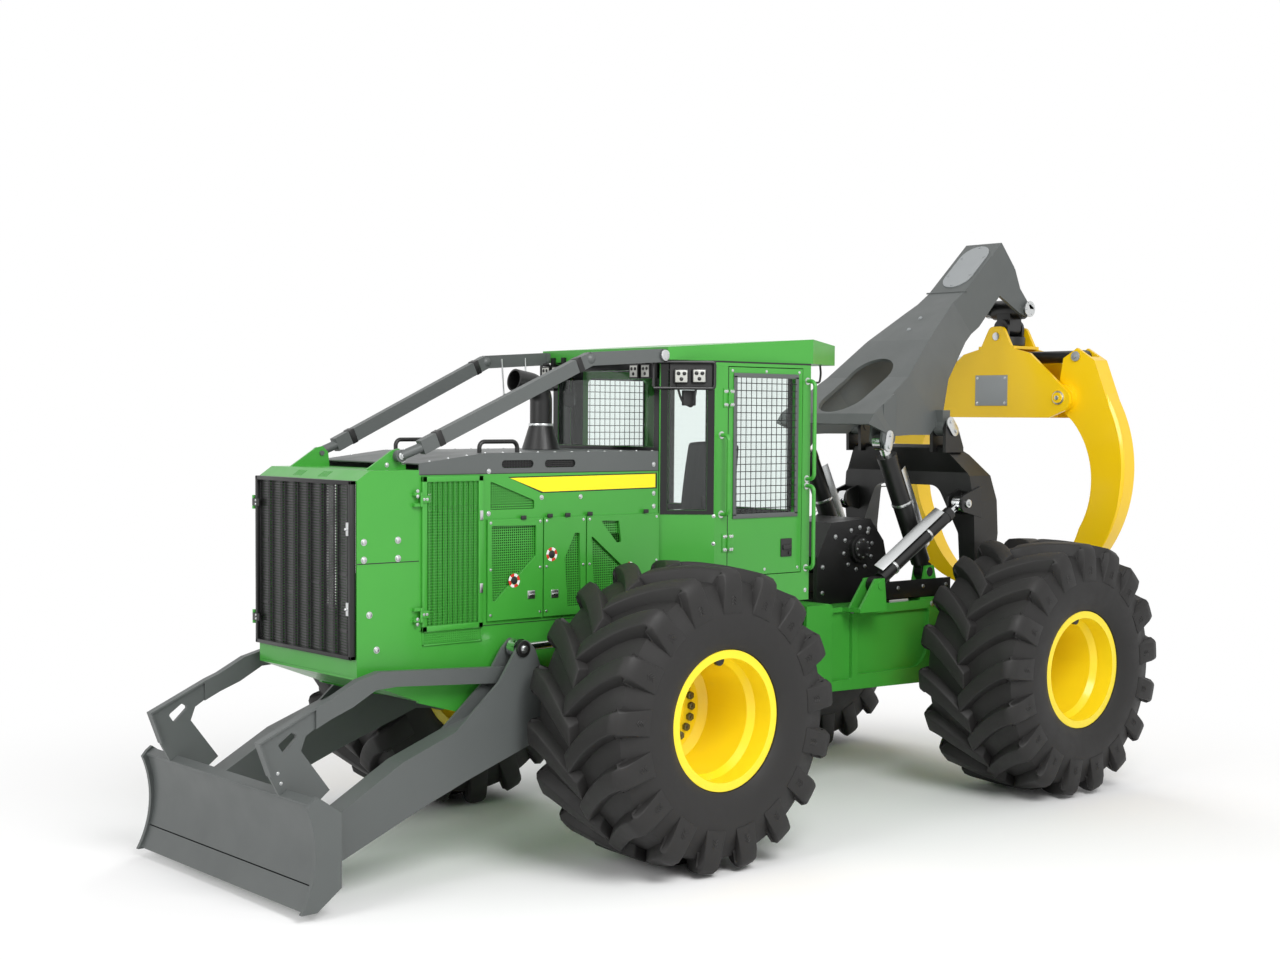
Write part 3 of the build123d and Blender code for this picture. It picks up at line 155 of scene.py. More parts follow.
@dataclass(frozen=True)
class TyreRubber:
    """Moulded carbon-black rubber: nearly black, matt, with a faint bloom and fine pores."""

    name: str = "carbon_black_rubber"
    colour: str = "1B1A1A"
    bloom: str = "272625"
    grain_mm: float = 6.0

    def material(self) -> bpy.types.Material:
        """Build the shader."""
        made, tree, shader = blank_material(self.name)
        place = add_node(tree, "ShaderNodeTexCoord").outputs["Object"]
        patch = add_node(tree, "ShaderNodeTexNoise", {"Vector": place, "Scale": 6.0, "Detail": 6.0, "Roughness": 0.65})
        tone = add_node(tree, "ShaderNodeMix", {0: patch.outputs[0], 6: linear(self.colour), 7: linear(self.bloom)},
                        data_type="RGBA")
        grain = add_node(tree, "ShaderNodeTexNoise", {"Vector": place, "Scale": 1000 / self.grain_mm, "Detail": 3.0})
        bump = add_node(tree, "ShaderNodeBump", {"Height": grain.outputs[0], "Strength": 0.18, "Distance": 0.003})
        rough = add_node(tree, "ShaderNodeMapRange", {0: patch.outputs[0], 1: 0.3, 2: 0.7, 3: 0.5, 4: 0.68})
        tree.links.new(tone.outputs[2], shader.inputs["Base Color"])
        tree.links.new(rough.outputs[0], shader.inputs["Roughness"])
        tree.links.new(bump.outputs[0], shader.inputs["Normal"])
        shader.inputs["Specular IOR Level"].default_value = 0.4
        return made


@dataclass(frozen=True)
class BareMetal:
    """Plated or polished steel: even, bright, with fine streaks across its gloss."""

    name: str
    colour: str = "C9CBCC"
    roughness: float = 0.25
    streak_mm: float = 3.0

    def material(self) -> bpy.types.Material:
        """Build the shader."""
        made, tree, shader = blank_material(self.name)
        place = add_node(tree, "ShaderNodeTexCoord").outputs["Object"]
        streak = add_node(tree, "ShaderNodeTexNoise", {"Vector": place, "Scale": 1000 / self.streak_mm, "Detail": 2.0})
        gloss = add_node(tree, "ShaderNodeMapRange", {0: streak.outputs[0], 1: 0.2, 2: 0.8, 3: self.roughness - 0.06,
                                                      4: self.roughness + 0.08})
        tree.links.new(gloss.outputs[0], shader.inputs["Roughness"])
        shader.inputs["Base Color"].default_value = linear(self.colour)
        shader.inputs["Metallic"].default_value = 1.0
        return made


@dataclass(frozen=True)
class Moulded:
    """Moulded plastic, rubber or vinyl with a fine leathery grain."""

    name: str
    colour: str
    roughness: float = 0.5
    grain_mm: float = 4.0
    depth: float = 0.12

    def material(self) -> bpy.types.Material:
        """Build the shader."""
        made, tree, shader = blank_material(self.name)
        place = add_node(tree, "ShaderNodeTexCoord").outputs["Object"]
        grain = add_node(tree, "ShaderNodeTexVoronoi", {"Vector": place, "Scale": 1000 / self.grain_mm})
        bump = add_node(tree, "ShaderNodeBump", {"Height": grain.outputs[0], "Strength": self.depth, "Distance": 0.001})
        tree.links.new(bump.outputs[0], shader.inputs["Normal"])
        shader.inputs["Base Color"].default_value = linear(self.colour)
        shader.inputs["Roughness"].default_value = self.roughness
        return made


@dataclass(frozen=True)
class CabPane:
    """Polycarbonate safety glazing: clear, with a sharp reflection."""

    name: str = "polycarbonate_glazing"
    colour: str = "FAFDFC"

    def material(self) -> bpy.types.Material:
        """Build the shader."""
        made, tree, shader = blank_material(self.name)
        clear = add_node(tree, "ShaderNodeBsdfTransparent", {"Color": linear(self.colour)})
        gloss = add_node(tree, "ShaderNodeBsdfGlossy", {"Roughness": 0.03})
        facing = add_node(tree, "ShaderNodeLayerWeight", {"Blend": 0.5})
        steep = add_node(tree, "ShaderNodeMath", {0: facing.outputs["Facing"], 1: 5.0}, operation="POWER")
        share = add_node(tree, "ShaderNodeMapRange", {0: steep.outputs[0], 3: 0.035, 4: 0.9})
        mixed = add_node(tree, "ShaderNodeMixShader", {0: share.outputs[0], 1: clear.outputs[0], 2: gloss.outputs[0]})
        out = [n for n in tree.nodes if n.type == "OUTPUT_MATERIAL"][0]
        tree.links.new(mixed.outputs[0], out.inputs["Surface"])
        tree.nodes.remove(shader)
        return made


GREEN = Enamel("green_polyurethane_enamel", "43A237", "3A9633")
YELLOW = Enamel("yellow_polyurethane_enamel", "FFD400", "FBCB00", roughness=0.3)
GREY = Enamel("graphite_satin_enamel", "5A5E5D", "535756", roughness=0.42, coat=0.05)
BLACK = Enamel("black_satin_enamel", "121212", "0F0F0F", roughness=0.36, coat=0.1)
RIM_YELLOW = Enamel("lemon_polyurethane_enamel", "FFE626", "FCE01E", roughness=0.3)
STRIPE = Enamel("yellow_vinyl_film", "FFF000", "FFE800", roughness=0.3, coat=0.3)
WHITE = Enamel("white_vinyl_film", "F2F2EE", "ECECE8", roughness=0.4)
RED = Enamel("red_vinyl_film", "D8392B", "D03325", roughness=0.4)
ZINC = BareMetal("zinc_plated_steel", "D2D4D4", 0.3)
CHROME = BareMetal("hard_chromed_rod", "D8DADB", 0.12)
RUBBER = TyreRubber()
PLASTIC = Moulded("black_moulded_plastic", "222222", 0.45)
VINYL = Moulded("charcoal_seat_vinyl", "2A2A2C", 0.55, 3.0, 0.25)
PANE = CabPane()
PALE = Enamel("pale_grey_satin_enamel", "9A9EA0", "929698", roughness=0.4)
LENS = Moulded("clear_polycarbonate_lens", "B9BAB4", 0.18, 9.0, 0.2)
ROPE = BareMetal("galvanised_wire_rope", "8E9294", 0.45, 5.0)
STEEL = BareMetal("phosphated_steel", "6E6F6A", 0.45)
CERAMIC = Moulded("black_ceramic_border", "0E0F0F", 0.12, 2.0, 0.05)
LINING = Moulded("charcoal_cab_lining", "1E1F20", 0.7, 4.0, 0.2)


@dataclass
class Paints:
    """Every finish, made once and handed out by the finish that describes it."""

    made: dict = field(default_factory=dict)

    def of(self, finish: object) -> bpy.types.Material:
        """Return the material of a finish, building it the first time."""
        if finish not in self.made:
            self.made[finish] = finish.material()
        return self.made[finish]


PAINTS = Paints()


# ---- shape tools --------------------------------------------------------------------------------
@dataclass(frozen=True)
class Site:
    """Where the front axle lies in the frame."""

    axle_y: float

    @staticmethod
    def read() -> "Site":
        """Take the axle's place from the front tyre's box."""
        low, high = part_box("front_left_tyre")
        return Site((low.y + high.y) / 2)


SITE = Site.read()


class Side(Enum):
    """Sides of the machine; the value is the sign of X."""

    LEFT = 1
    RIGHT = -1

    @property
    def word(self) -> str:
        """Name used in node names."""
        return self.name.lower()


def among(verts: Iterable) -> list:
    """Return the edges whose two ends are both among some vertices."""
    inside = set(verts)
    return list({e: None for v in verts for e in v.link_edges if e.other_vert(v) in inside})


class Shape:
    """A mesh under construction, in metres from the ground under the front axle."""

    def __init__(self) -> None:
        """Start with an empty mesh."""
        self.bm = bmesh.new()

    def _take(self, verts: Iterable, matrix: Matrix) -> list:
        """Transform new vertices and return them as a list."""
        found = list(verts)
        bmesh.ops.transform(self.bm, matrix=matrix, verts=found)
        return found

    def box(self, low: Point, high: Point, bevel: float = 0.0) -> list:
        """Add a box between two corners.

        Args:
            low: lowest corner.
            high: highest corner.
            bevel: width of the bevel on its edges.

        Returns:
            The box's vertices before bevelling.
        """
        size = [b - a for a, b in zip(low, high)]
        middle = Vector([(a + b) / 2 for a, b in zip(low, high)])
        made = bmesh.ops.create_cube(self.bm, size=1.0)["verts"]
        verts = self._take(made, Matrix.Translation(middle) @ Matrix.Diagonal((*size, 1)))
        if bevel:
            self.bevel(verts, bevel)
        return verts

    def bevel(self, verts: Sequence, width: float, segments: int = 2) -> None:
        """Round the edges among some vertices."""
        bmesh.ops.bevel(self.bm, geom=among(verts), offset=width, segments=segments, profile=0.5,
                        affect="EDGES", material=-1)

    def rod(self, start: Point, end: Point, radius: float, sides: int = 20, end_radius: float | None = None,
            bevel: float = 0.0) -> list:
        """Add a round bar, or a cone where end_radius is given.

        Args:
            start: centre of the first end.
            end: centre of the other end.
            radius: radius at start.
            sides: number of flats.
            end_radius: radius at end, if it differs.
            bevel: width of the chamfer on its end edges.

        Returns:
            The bar's vertices before bevelling.
        """
        a, b = Vector(start), Vector(end)
        way = b - a
        made = bmesh.ops.create_cone(self.bm, cap_ends=True, segments=sides, radius1=radius,
                                     radius2=radius if end_radius is None else end_radius, depth=way.length)["verts"]
        turn = way.to_track_quat("Z", "Y").to_matrix().to_4x4()
        verts = self._take(made, Matrix.Translation((a + b) / 2) @ turn)
        if bevel:
            rims = [e for e in among(verts) if any(len(f.verts) > 4 for f in e.link_faces)]
            bmesh.ops.bevel(self.bm, geom=rims, offset=bevel, segments=2, profile=0.5, affect="EDGES", material=-1)
        return verts

    def prism(self, outline: Sequence[Point], axis: str, low: float, high: float, bevel: float = 0.0) -> list:
        """Extrude a flat outline along one axis.

        Args:
            outline: corners; (y, z) for axis "x", (x, z) for "y", (x, y) for "z".
            axis: "x", "y" or "z".
            low: where the extrusion starts.
            high: where it ends.
            bevel: width of the bevel on all edges.

        Returns:
            The prism's vertices before bevelling.
        """
        order = {"x": lambda u, v: (low, u, v), "y": lambda u, v: (u, low, v), "z": lambda u, v: (u, v, low)}[axis]
        verts = [self.bm.verts.new(order(u, v)) for u, v in outline]
        face = self.bm.faces.new(verts)
        way = {"x": (high - low, 0, 0), "y": (0, high - low, 0), "z": (0, 0, high - low)}[axis]
        out = bmesh.ops.extrude_face_region(self.bm, geom=[face], use_keep_orig=True)["geom"]
        new = [g for g in out if isinstance(g, bmesh.types.BMVert)]
        bmesh.ops.translate(self.bm, vec=Vector(way), verts=new)
        everything = verts + new
        faces = {f for v in everything for f in v.link_faces}
        bmesh.ops.recalc_face_normals(self.bm, faces=list(faces))
        if bevel:
            self.bevel(everything, bevel)
        return everything

    def tube(self, points: Sequence[Point], radius: float, sides: int = 12, bend: float = 0.04, steps: int = 5) -> None:
        """Add a bent bar through points, its corners turned by arcs.

        Args:
            points: ends and corners of the bar's middle line.
            radius: radius of the bar.
            sides: flats round the bar.
            bend: how far before a corner the arc begins.
            steps: pieces per arc.
        """
        line = rounded(points, bend, steps)
        rings = []
        for i, at in enumerate(line):
            way = (line[min(i + 1, len(line) - 1)] - line[max(i - 1, 0)]).normalized()
            made = bmesh.ops.create_circle(self.bm, segments=sides, radius=radius, cap_ends=False)["verts"]
            if i == 0:
                turn = way.to_track_quat("Z", "Y")
            else:
                turn = last.rotation_difference(way) @ turn
            last = way
            self._take(made, Matrix.Translation(at) @ turn.to_matrix().to_4x4())
            rings.append(made)
        for low, high in zip(rings, rings[1:]):
            bmesh.ops.bridge_loops(self.bm, edges=among(low) + among(high))
        for ring in (rings[0], rings[-1]):
            self.bm.faces.new(ring)
        inside = {v for ring in rings for v in ring}
        bmesh.ops.recalc_face_normals(self.bm, faces=list({f for v in inside for f in v.link_faces}))

    def spin(self, outline: Sequence[Point], centre: Point, steps: int = 64) -> list:
        """Turn an open or closed outline of (x, radius) once about an X axis through centre.

        Args:
            outline: (x, radius) pairs, from one end to the other.
            centre: a point on the axis.
            steps: pieces in the full turn.

        Returns:
            Vertices of the turned shape.
        """
        verts = [self.bm.verts.new((centre[0] + x, centre[1], centre[2] + r)) for x, r in outline]
        edges = [self.bm.edges.new(ends) for ends in zip(verts, verts[1:])]
        before = set(self.bm.verts) - set(verts)
        bmesh.ops.spin(self.bm, geom=verts + edges, cent=Vector(centre), axis=(1, 0, 0), angle=math.tau,
                       steps=steps, use_merge=True)
        return [v for v in self.bm.verts if v not in before]

    def bolt(self, at: Point, way: Point, size: float = 0.018, washer: bool = True) -> None:
        """Add a hexagon bolt head on its washer.

        Args:
            at: where it meets the surface.
            way: direction it points.
            size: radius of the head.
            washer: whether it has one.
        """
        a, w = Vector(at), Vector(way).normalized()
        if washer:
            self.rod(a - w * 0.002, a + w * size * 0.25, size * 1.45, 14)
        self.rod(a - w * 0.002, a + w * size * 0.9, size, 6, bevel=size * 0.12)

    def dome(self, at: Point, way: Point, size: float = 0.014) -> None:
        """Add a round-headed bolt on its washer.

        Args:
            at: where it meets the surface.
            way: direction it points.
            size: radius of the head.
        """
        a, w = Vector(at), Vector(way).normalized()
        self.rod(a - w * 0.002, a + w * size * 0.2, size * 1.35, 14)
        self.rod(a - w * 0.002, a + w * size * 0.75, size, 12, bevel=size * 0.35)

    def perforated(self, place: Callable[[float, float], Point], size: tuple[float, float], cells: tuple[int, int],
                   web: float = 0.0035, thick: float = 0.0015) -> None:
        """Add a sheet punched with a hole in every cell of a grid.

        Args:
            place: turns a point of the flat sheet into its place on the machine.
            size: width and height of the flat sheet.
            cells: holes across and up.
            web: half the metal left between two holes.
            thick: the sheet's gauge.
        """
        grid = bmesh.ops.create_grid(self.bm, x_segments=cells[0], y_segments=cells[1], size=0.5)["verts"]
        for v in grid:
            v.co = Vector(((v.co.x + 0.5) * size[0], (v.co.y + 0.5) * size[1], 0))
        holes = list({f: None for v in grid for f in v.link_faces})
        metal = bmesh.ops.inset_individual(self.bm, faces=holes, thickness=web, use_even_offset=True)["faces"]
        bmesh.ops.delete(self.bm, geom=holes, context="FACES_ONLY")
        for v in {v: None for f in metal for v in f.verts}:
            v.co = Vector(place(v.co.x, v.co.y))
        bmesh.ops.recalc_face_normals(self.bm, faces=metal)
        bmesh.ops.solidify(self.bm, geom=metal, thickness=thick)

    def place(self, verts: Iterable, spot: Vector, turn: Matrix) -> None:
        """Turn corners and carry them to a spot."""
        bmesh.ops.transform(self.bm, matrix=Matrix.Translation(spot) @ turn, verts=verts)

    def flip(self, sign: int) -> None:
        """Carry the mesh to the machine's right side where sign is -1."""
        bmesh.ops.scale(self.bm, vec=(sign, 1, 1), verts=self.bm.verts[:])
        if sign < 0:
            bmesh.ops.reverse_faces(self.bm, faces=self.bm.faces[:])

    def mirror(self) -> None:
        """Add the shape's own mirror image on the other side of the machine."""
        copy = bmesh.ops.duplicate(self.bm, geom=self.bm.verts[:] + self.bm.edges[:] + self.bm.faces[:])["geom"]
        verts = [g for g in copy if isinstance(g, bmesh.types.BMVert)]
        faces = [g for g in copy if isinstance(g, bmesh.types.BMFace)]
        bmesh.ops.scale(self.bm, vec=(-1, 1, 1), verts=verts)
        bmesh.ops.reverse_faces(self.bm, faces=faces)

    def piece(self, name: str, finish: object, body: str, slot: str, smooth: float = 35.0) -> bpy.types.Object:
        """Turn the shape into a finished object that rides on a body.

        Args:
            name: the object's name.
            finish: the finish of its surface.
            body: CAD body that it moves with.
            slot: material slot of the record; not used.
            smooth: edges flatter than this many degrees are shaded smooth.

        Returns:
            The new object.
        """
        bmesh.ops.translate(self.bm, vec=(0, SITE.axle_y, 0), verts=self.bm.verts[:])
        mesh = bpy.data.meshes.new(name)
        self.bm.to_mesh(mesh)
        self.bm.free()
        mesh.materials.append(PAINTS.of(finish))
        mesh.polygons.foreach_set("use_smooth", [True] * len(mesh.polygons))
        mesh.set_sharp_from_angle(angle=math.radians(smooth))
        made = bpy.data.objects.new(name, mesh)
        bpy.context.scene.collection.objects.link(made)
        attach(made, body)
        return made


def rounded(points: Sequence[Point], bend: float, steps: int) -> list[Vector]:
    """Replace a line's corners by arcs.

    Args:
        points: ends and corners.
        bend: how far before a corner its arc begins.
        steps: pieces per arc.

    Returns:
        Points along the rounded line.
    """
    line = [Vector(points[0])]
    for a, b, c in zip(points, points[1:], points[2:]):
        before, corner, after = Vector(a), Vector(b), Vector(c)
        reach = min(bend, (before - corner).length * 0.45, (after - corner).length * 0.45)
        p, q = corner + (before - corner).normalized() * reach, corner + (after - corner).normalized() * reach
        for k in range(steps + 1):
            t = k / steps
            line.append(p * (1 - t) ** 2 + corner * 2 * t * (1 - t) + q * t ** 2)
    return [*line, Vector(points[-1])]


@dataclass
class Skins:
    """Surfaces of the CAD nodes, for seating fittings on them."""

    trees: dict = field(default_factory=dict)

    def hit(self, node: str, start: Point, way: Point) -> Vector:
        """Find where a line first meets a node.

        Args:
            node: name of the CAD node.
            start: where the line starts.
            way: its direction.

        Returns:
            The place on the node's surface.
        """
        if node not in self.trees:
            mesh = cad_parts[node].data
            self.trees[node] = BVHTree.FromPolygons([v.co for v in mesh.vertices], [p.vertices for p in mesh.polygons])
        shift = Vector((0, SITE.axle_y, 0))
        place = self.trees[node].ray_cast(Vector(start) + shift, Vector(way))[0]
        if place is None:
            raise ValueError(f"no surface of {node} at {start}")
        return place - shift


SKINS = Skins()


def panel_axes(way: Vector) -> Matrix:
    """Return the turn that lays a flat outline on an upright panel along way."""
    return Matrix((way, Vector((0, 0, 1)), Vector((way.y, -way.x, 0)))).transposed().to_4x4()


def stadium(middle: tuple[float, float], reach: float, radius: float, lean: float, steps: int = 10) -> list[Point]:
    """Return the outline of an oval with round ends.

    Args:
        middle: its centre.
        reach: half of its whole length.
        radius: radius of its ends.
        lean: angle of its long axis.
        steps: pieces per round end.

    Returns:
        Corners in order.
    """
    along = Vector((math.cos(lean), math.sin(lean)))
    across = Vector((-along.y, along.x))
    points = []
    for sign in (1, -1):
        for k in range(steps + 1):
            t = math.pi * k / steps - math.pi / 2
            spread = along * (reach - radius + radius * math.cos(t)) + across * radius * math.sin(t)
            points.append(Vector(middle) + sign * spread)
    return [tuple(p) for p in points]


def fastened(shape: Shape, node: str, spots: Iterable[Point], way: Point, size: float = 0.013,
             hexagonal: bool = False) -> None:
    """Seat bolts on a node's surface.

    Args:
        shape: mesh that gets the bolts.
        node: CAD node that they are screwed into.
        spots: points outside it, one per bolt.
        way: direction from each point towards the surface.
        size: radius of the heads.
        hexagonal: whether the heads are hexagons rather than domes.
    """
    out = -Vector(way)
    for spot in spots:
        at = SKINS.hit(node, spot, way)
        if hexagonal:
            shape.bolt(at, out, size)
        else:
            shape.dome(at, out, size)


def row(start: Point, end: Point, count: int) -> list[Vector]:
    """Return evenly spaced points from start to end."""
    a, b = Vector(start), Vector(end)
    return [a.lerp(b, k / (count - 1)) for k in range(count)]


def disc_x(shape: Shape, at: Point, outer: float, thick: float, inner: float = 0.0, parts: Sequence[int] = (0, 1),
           of: int = 1) -> None:
    """Add a flat ring or disc, or some sectors of one, facing along X.

    Args:
        shape: mesh that gets it.
        at: centre of its hidden face.
        outer: outer radius.
        thick: how far it stands out along X.
        inner: inner radius.
        parts: numbers of the sectors to make.
        of: how many sectors fill the ring.
    """
    for part in parts if of > 1 else (0,):
        arc = [math.tau * (part + k / 12) / of for k in range(13)]
        edge = [(at[1] + outer * math.cos(t), at[2] + outer * math.sin(t)) for t in arc]
        hole = [(at[1] + inner * math.cos(t), at[2] + inner * math.sin(t)) for t in reversed(arc)]
        shape.prism(edge + hole, "x", at[0], at[0] + thick)


# ---- screens ------------------------------------------------------------------------------------
@dataclass
class FrontScreen:
    """Hinged front screen: seven folded, perforated columns in a steel frame."""

    half: float = 0.573
    front: float = -2.0133
    back: float = -1.9753
    low: float = 1.393
    high: float = 2.471
    rail: float = 0.025
    columns: int = 7
    holes: tuple[int, int] = (10, 60)
    seams: tuple[tuple[float, float], ...] = ((1.66, 2.06), (1.58, 1.93), (1.75, 2.2), (1.62, 2.0), (1.83, 2.27),
                                              (1.7, 2.1), (1.56, 1.9))
    hinges: tuple[float, float] = (1.56, 2.30)

    def frame(self, shape: Shape) -> None:
        """Add the four rails."""
        for x in (-self.half, self.half - self.rail):
            shape.box((x, self.front, self.low), (x + self.rail, self.back, self.high), 0.004)
        for z in (self.low, self.high - self.rail):
            shape.box((-self.half, self.front, z), (self.half, self.back, z + self.rail), 0.004)

    def column(self, shape: Shape, start: float, width: float, seams: Sequence[float]) -> None:
        """Add one folded column.

        Args:
            shape: mesh that gets it.
            start: its edge nearest the machine's right.
            width: distance to the next column.
            seams: heights of the steps across it.
        """
        def fold(a: float, b: float) -> Point:
            """Slope out to the fold at nine tenths of the width, then drop back."""
            t = a / width
            depth = 0.024 * t / 0.88 if t < 0.88 else 0.024 * (1 - t) / 0.12
            return start + a, self.back - 0.010 - depth, self.low + self.rail + b

        height = self.high - self.low - 2 * self.rail
        shape.perforated(fold, (width, height), self.holes, 0.0042)
        for z in seams:
            shape.prism([(start + 0.004, self.back - 0.013), (start + 0.88 * width, self.back - 0.036),
                         (start + 0.88 * width, self.back - 0.033), (start + 0.004, self.back - 0.008)], "z",
                        z, z + 0.009)
        shape.box((start - 0.003, self.back - 0.014, self.low + 0.01),
                  (start + 0.003, self.back - 0.004, self.high - 0.01))

    def hinge(self, shape: Shape, z: float) -> None:
        """Add the moving half of one hinge."""
        x, y = -0.597, self.front + 0.004
        shape.rod((x, y, z - 0.023), (x, y, z + 0.023), 0.010, 16)
        shape.box((x, self.front - 0.006, z - 0.023), (0.06 - self.half, self.front + 0.001, z + 0.023), 0.001)

    def build(self) -> None:
        """Make the screen and its latches."""
        shape = Shape()
        self.frame(shape)
        width = (2 * self.half - 2 * self.rail) / self.columns
        for n in range(self.columns):
            self.column(shape, self.rail - self.half + n * width, width, self.seams[n])
        for z in self.hinges:
            self.hinge(shape, z)
        made = shape.piece("front_louvre_screen", BLACK, "front_screen", "black_paint")
        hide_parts("front_screen")
        latches = Shape()
        for z in (2.181, 1.70):
            x = self.half - 0.028
            latches.box((x - 0.012, self.front - 0.008, z - 0.04), (x + 0.012, self.front + 0.001, z + 0.04), 0.002)
            latches.rod((x, self.front - 0.006, z), (x, self.front - 0.022, z), 0.008, 12, bevel=0.002)
        for z in self.hinges:
            for dz in (-0.012, 0.012):
                latches.dome((-0.555, self.front - 0.006, z + dz), (0, -1, 0), 0.006)
        latches.piece("front_screen_latches", ZINC, "front_screen", "hard_chrome")
        lip = Shape()
        lip.box((-0.577, -1.9748, 1.2865), (0.577, -1.966, 1.405))
        lip.piece("cowl_front_lip", GREEN, "chassis", "green_paint")
        LOG.info("front screen")


@dataclass
class SideScreen:
    """Hinged cooler screen on one side: a corrugated, perforated sheet in a frame."""

    side: Side
    y: tuple[float, float] = (-1.515, -1.055)
    z: tuple[float, float] = (1.53, 2.49)
    x: tuple[float, float] = (0.5853, 0.603)
    rail: float = 0.035
    ribs: int = 10
    holes: tuple[int, int] = (40, 50)
    hinge_pin: tuple[float, float] = (0.615, -1.53)
    hinges: tuple[float, float] = (1.64, 2.35)

    def build(self) -> None:
        """Make the screen with its hinge halves."""
        shape = Shape()
        sign = self.side.value
        (y0, y1), (z0, z1), (x0, x1) = self.y, self.z, self.x
        span = y1 - y0 - 2 * self.rail
        pitch = span / self.ribs

        def fold(a: float, b: float) -> Point:
            """Raise a flat-topped rib in every pitch."""
            t = (a / pitch + 1e-6) % 1
            lift = 1.0 if 0.2 < t < 0.7 else 0.0
            return x0 + 0.002 + 0.010 * lift, y0 + self.rail + a, z0 + self.rail + b

        shape.perforated(fold, (span, z1 - z0 - 2 * self.rail), self.holes, 0.0026)
        for y in (y0, y1 - self.rail):
            shape.box((x0, y, z0), (x1, y + self.rail, z1), 0.003)
        for z in (z0, z1 - self.rail):
            shape.box((x0, y0, z), (x1, y1, z + self.rail), 0.003)
        px, py = self.hinge_pin
        for z in self.hinges:
            shape.rod((px, py, z - 0.023), (px, py, z + 0.023), 0.010, 16)
            shape.box((x1 - 0.001, py, z - 0.023), (x1 + 0.006, py + 0.06, z + 0.023), 0.001)
        shape.flip(sign)
        word = self.side.word
        made = shape.piece(f"{word}_cooler_screen", GREEN, f"{word}_side_screen", "green_paint")
        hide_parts(f"{word}_side_screen")
        bolts = Shape()
        for z in self.hinges:
            for dy in (0.022, 0.045):
                bolts.dome((sign * (x1 + 0.006), py + dy, z), (sign, 0, 0), 0.007)
        for z in (z0 + 0.25, z1 - 0.25):
            low, high = sorted((sign * x1, sign * (x1 + 0.008)))
            bolts.box((low, y1 - 0.03, z - 0.03), (high, y1 - 0.006, z + 0.03), 0.002)
        bolts.piece(f"{word}_cooler_screen_bolts", ZINC, f"{word}_side_screen", "hard_chrome")
        LOG.info("%s cooler screen", word)


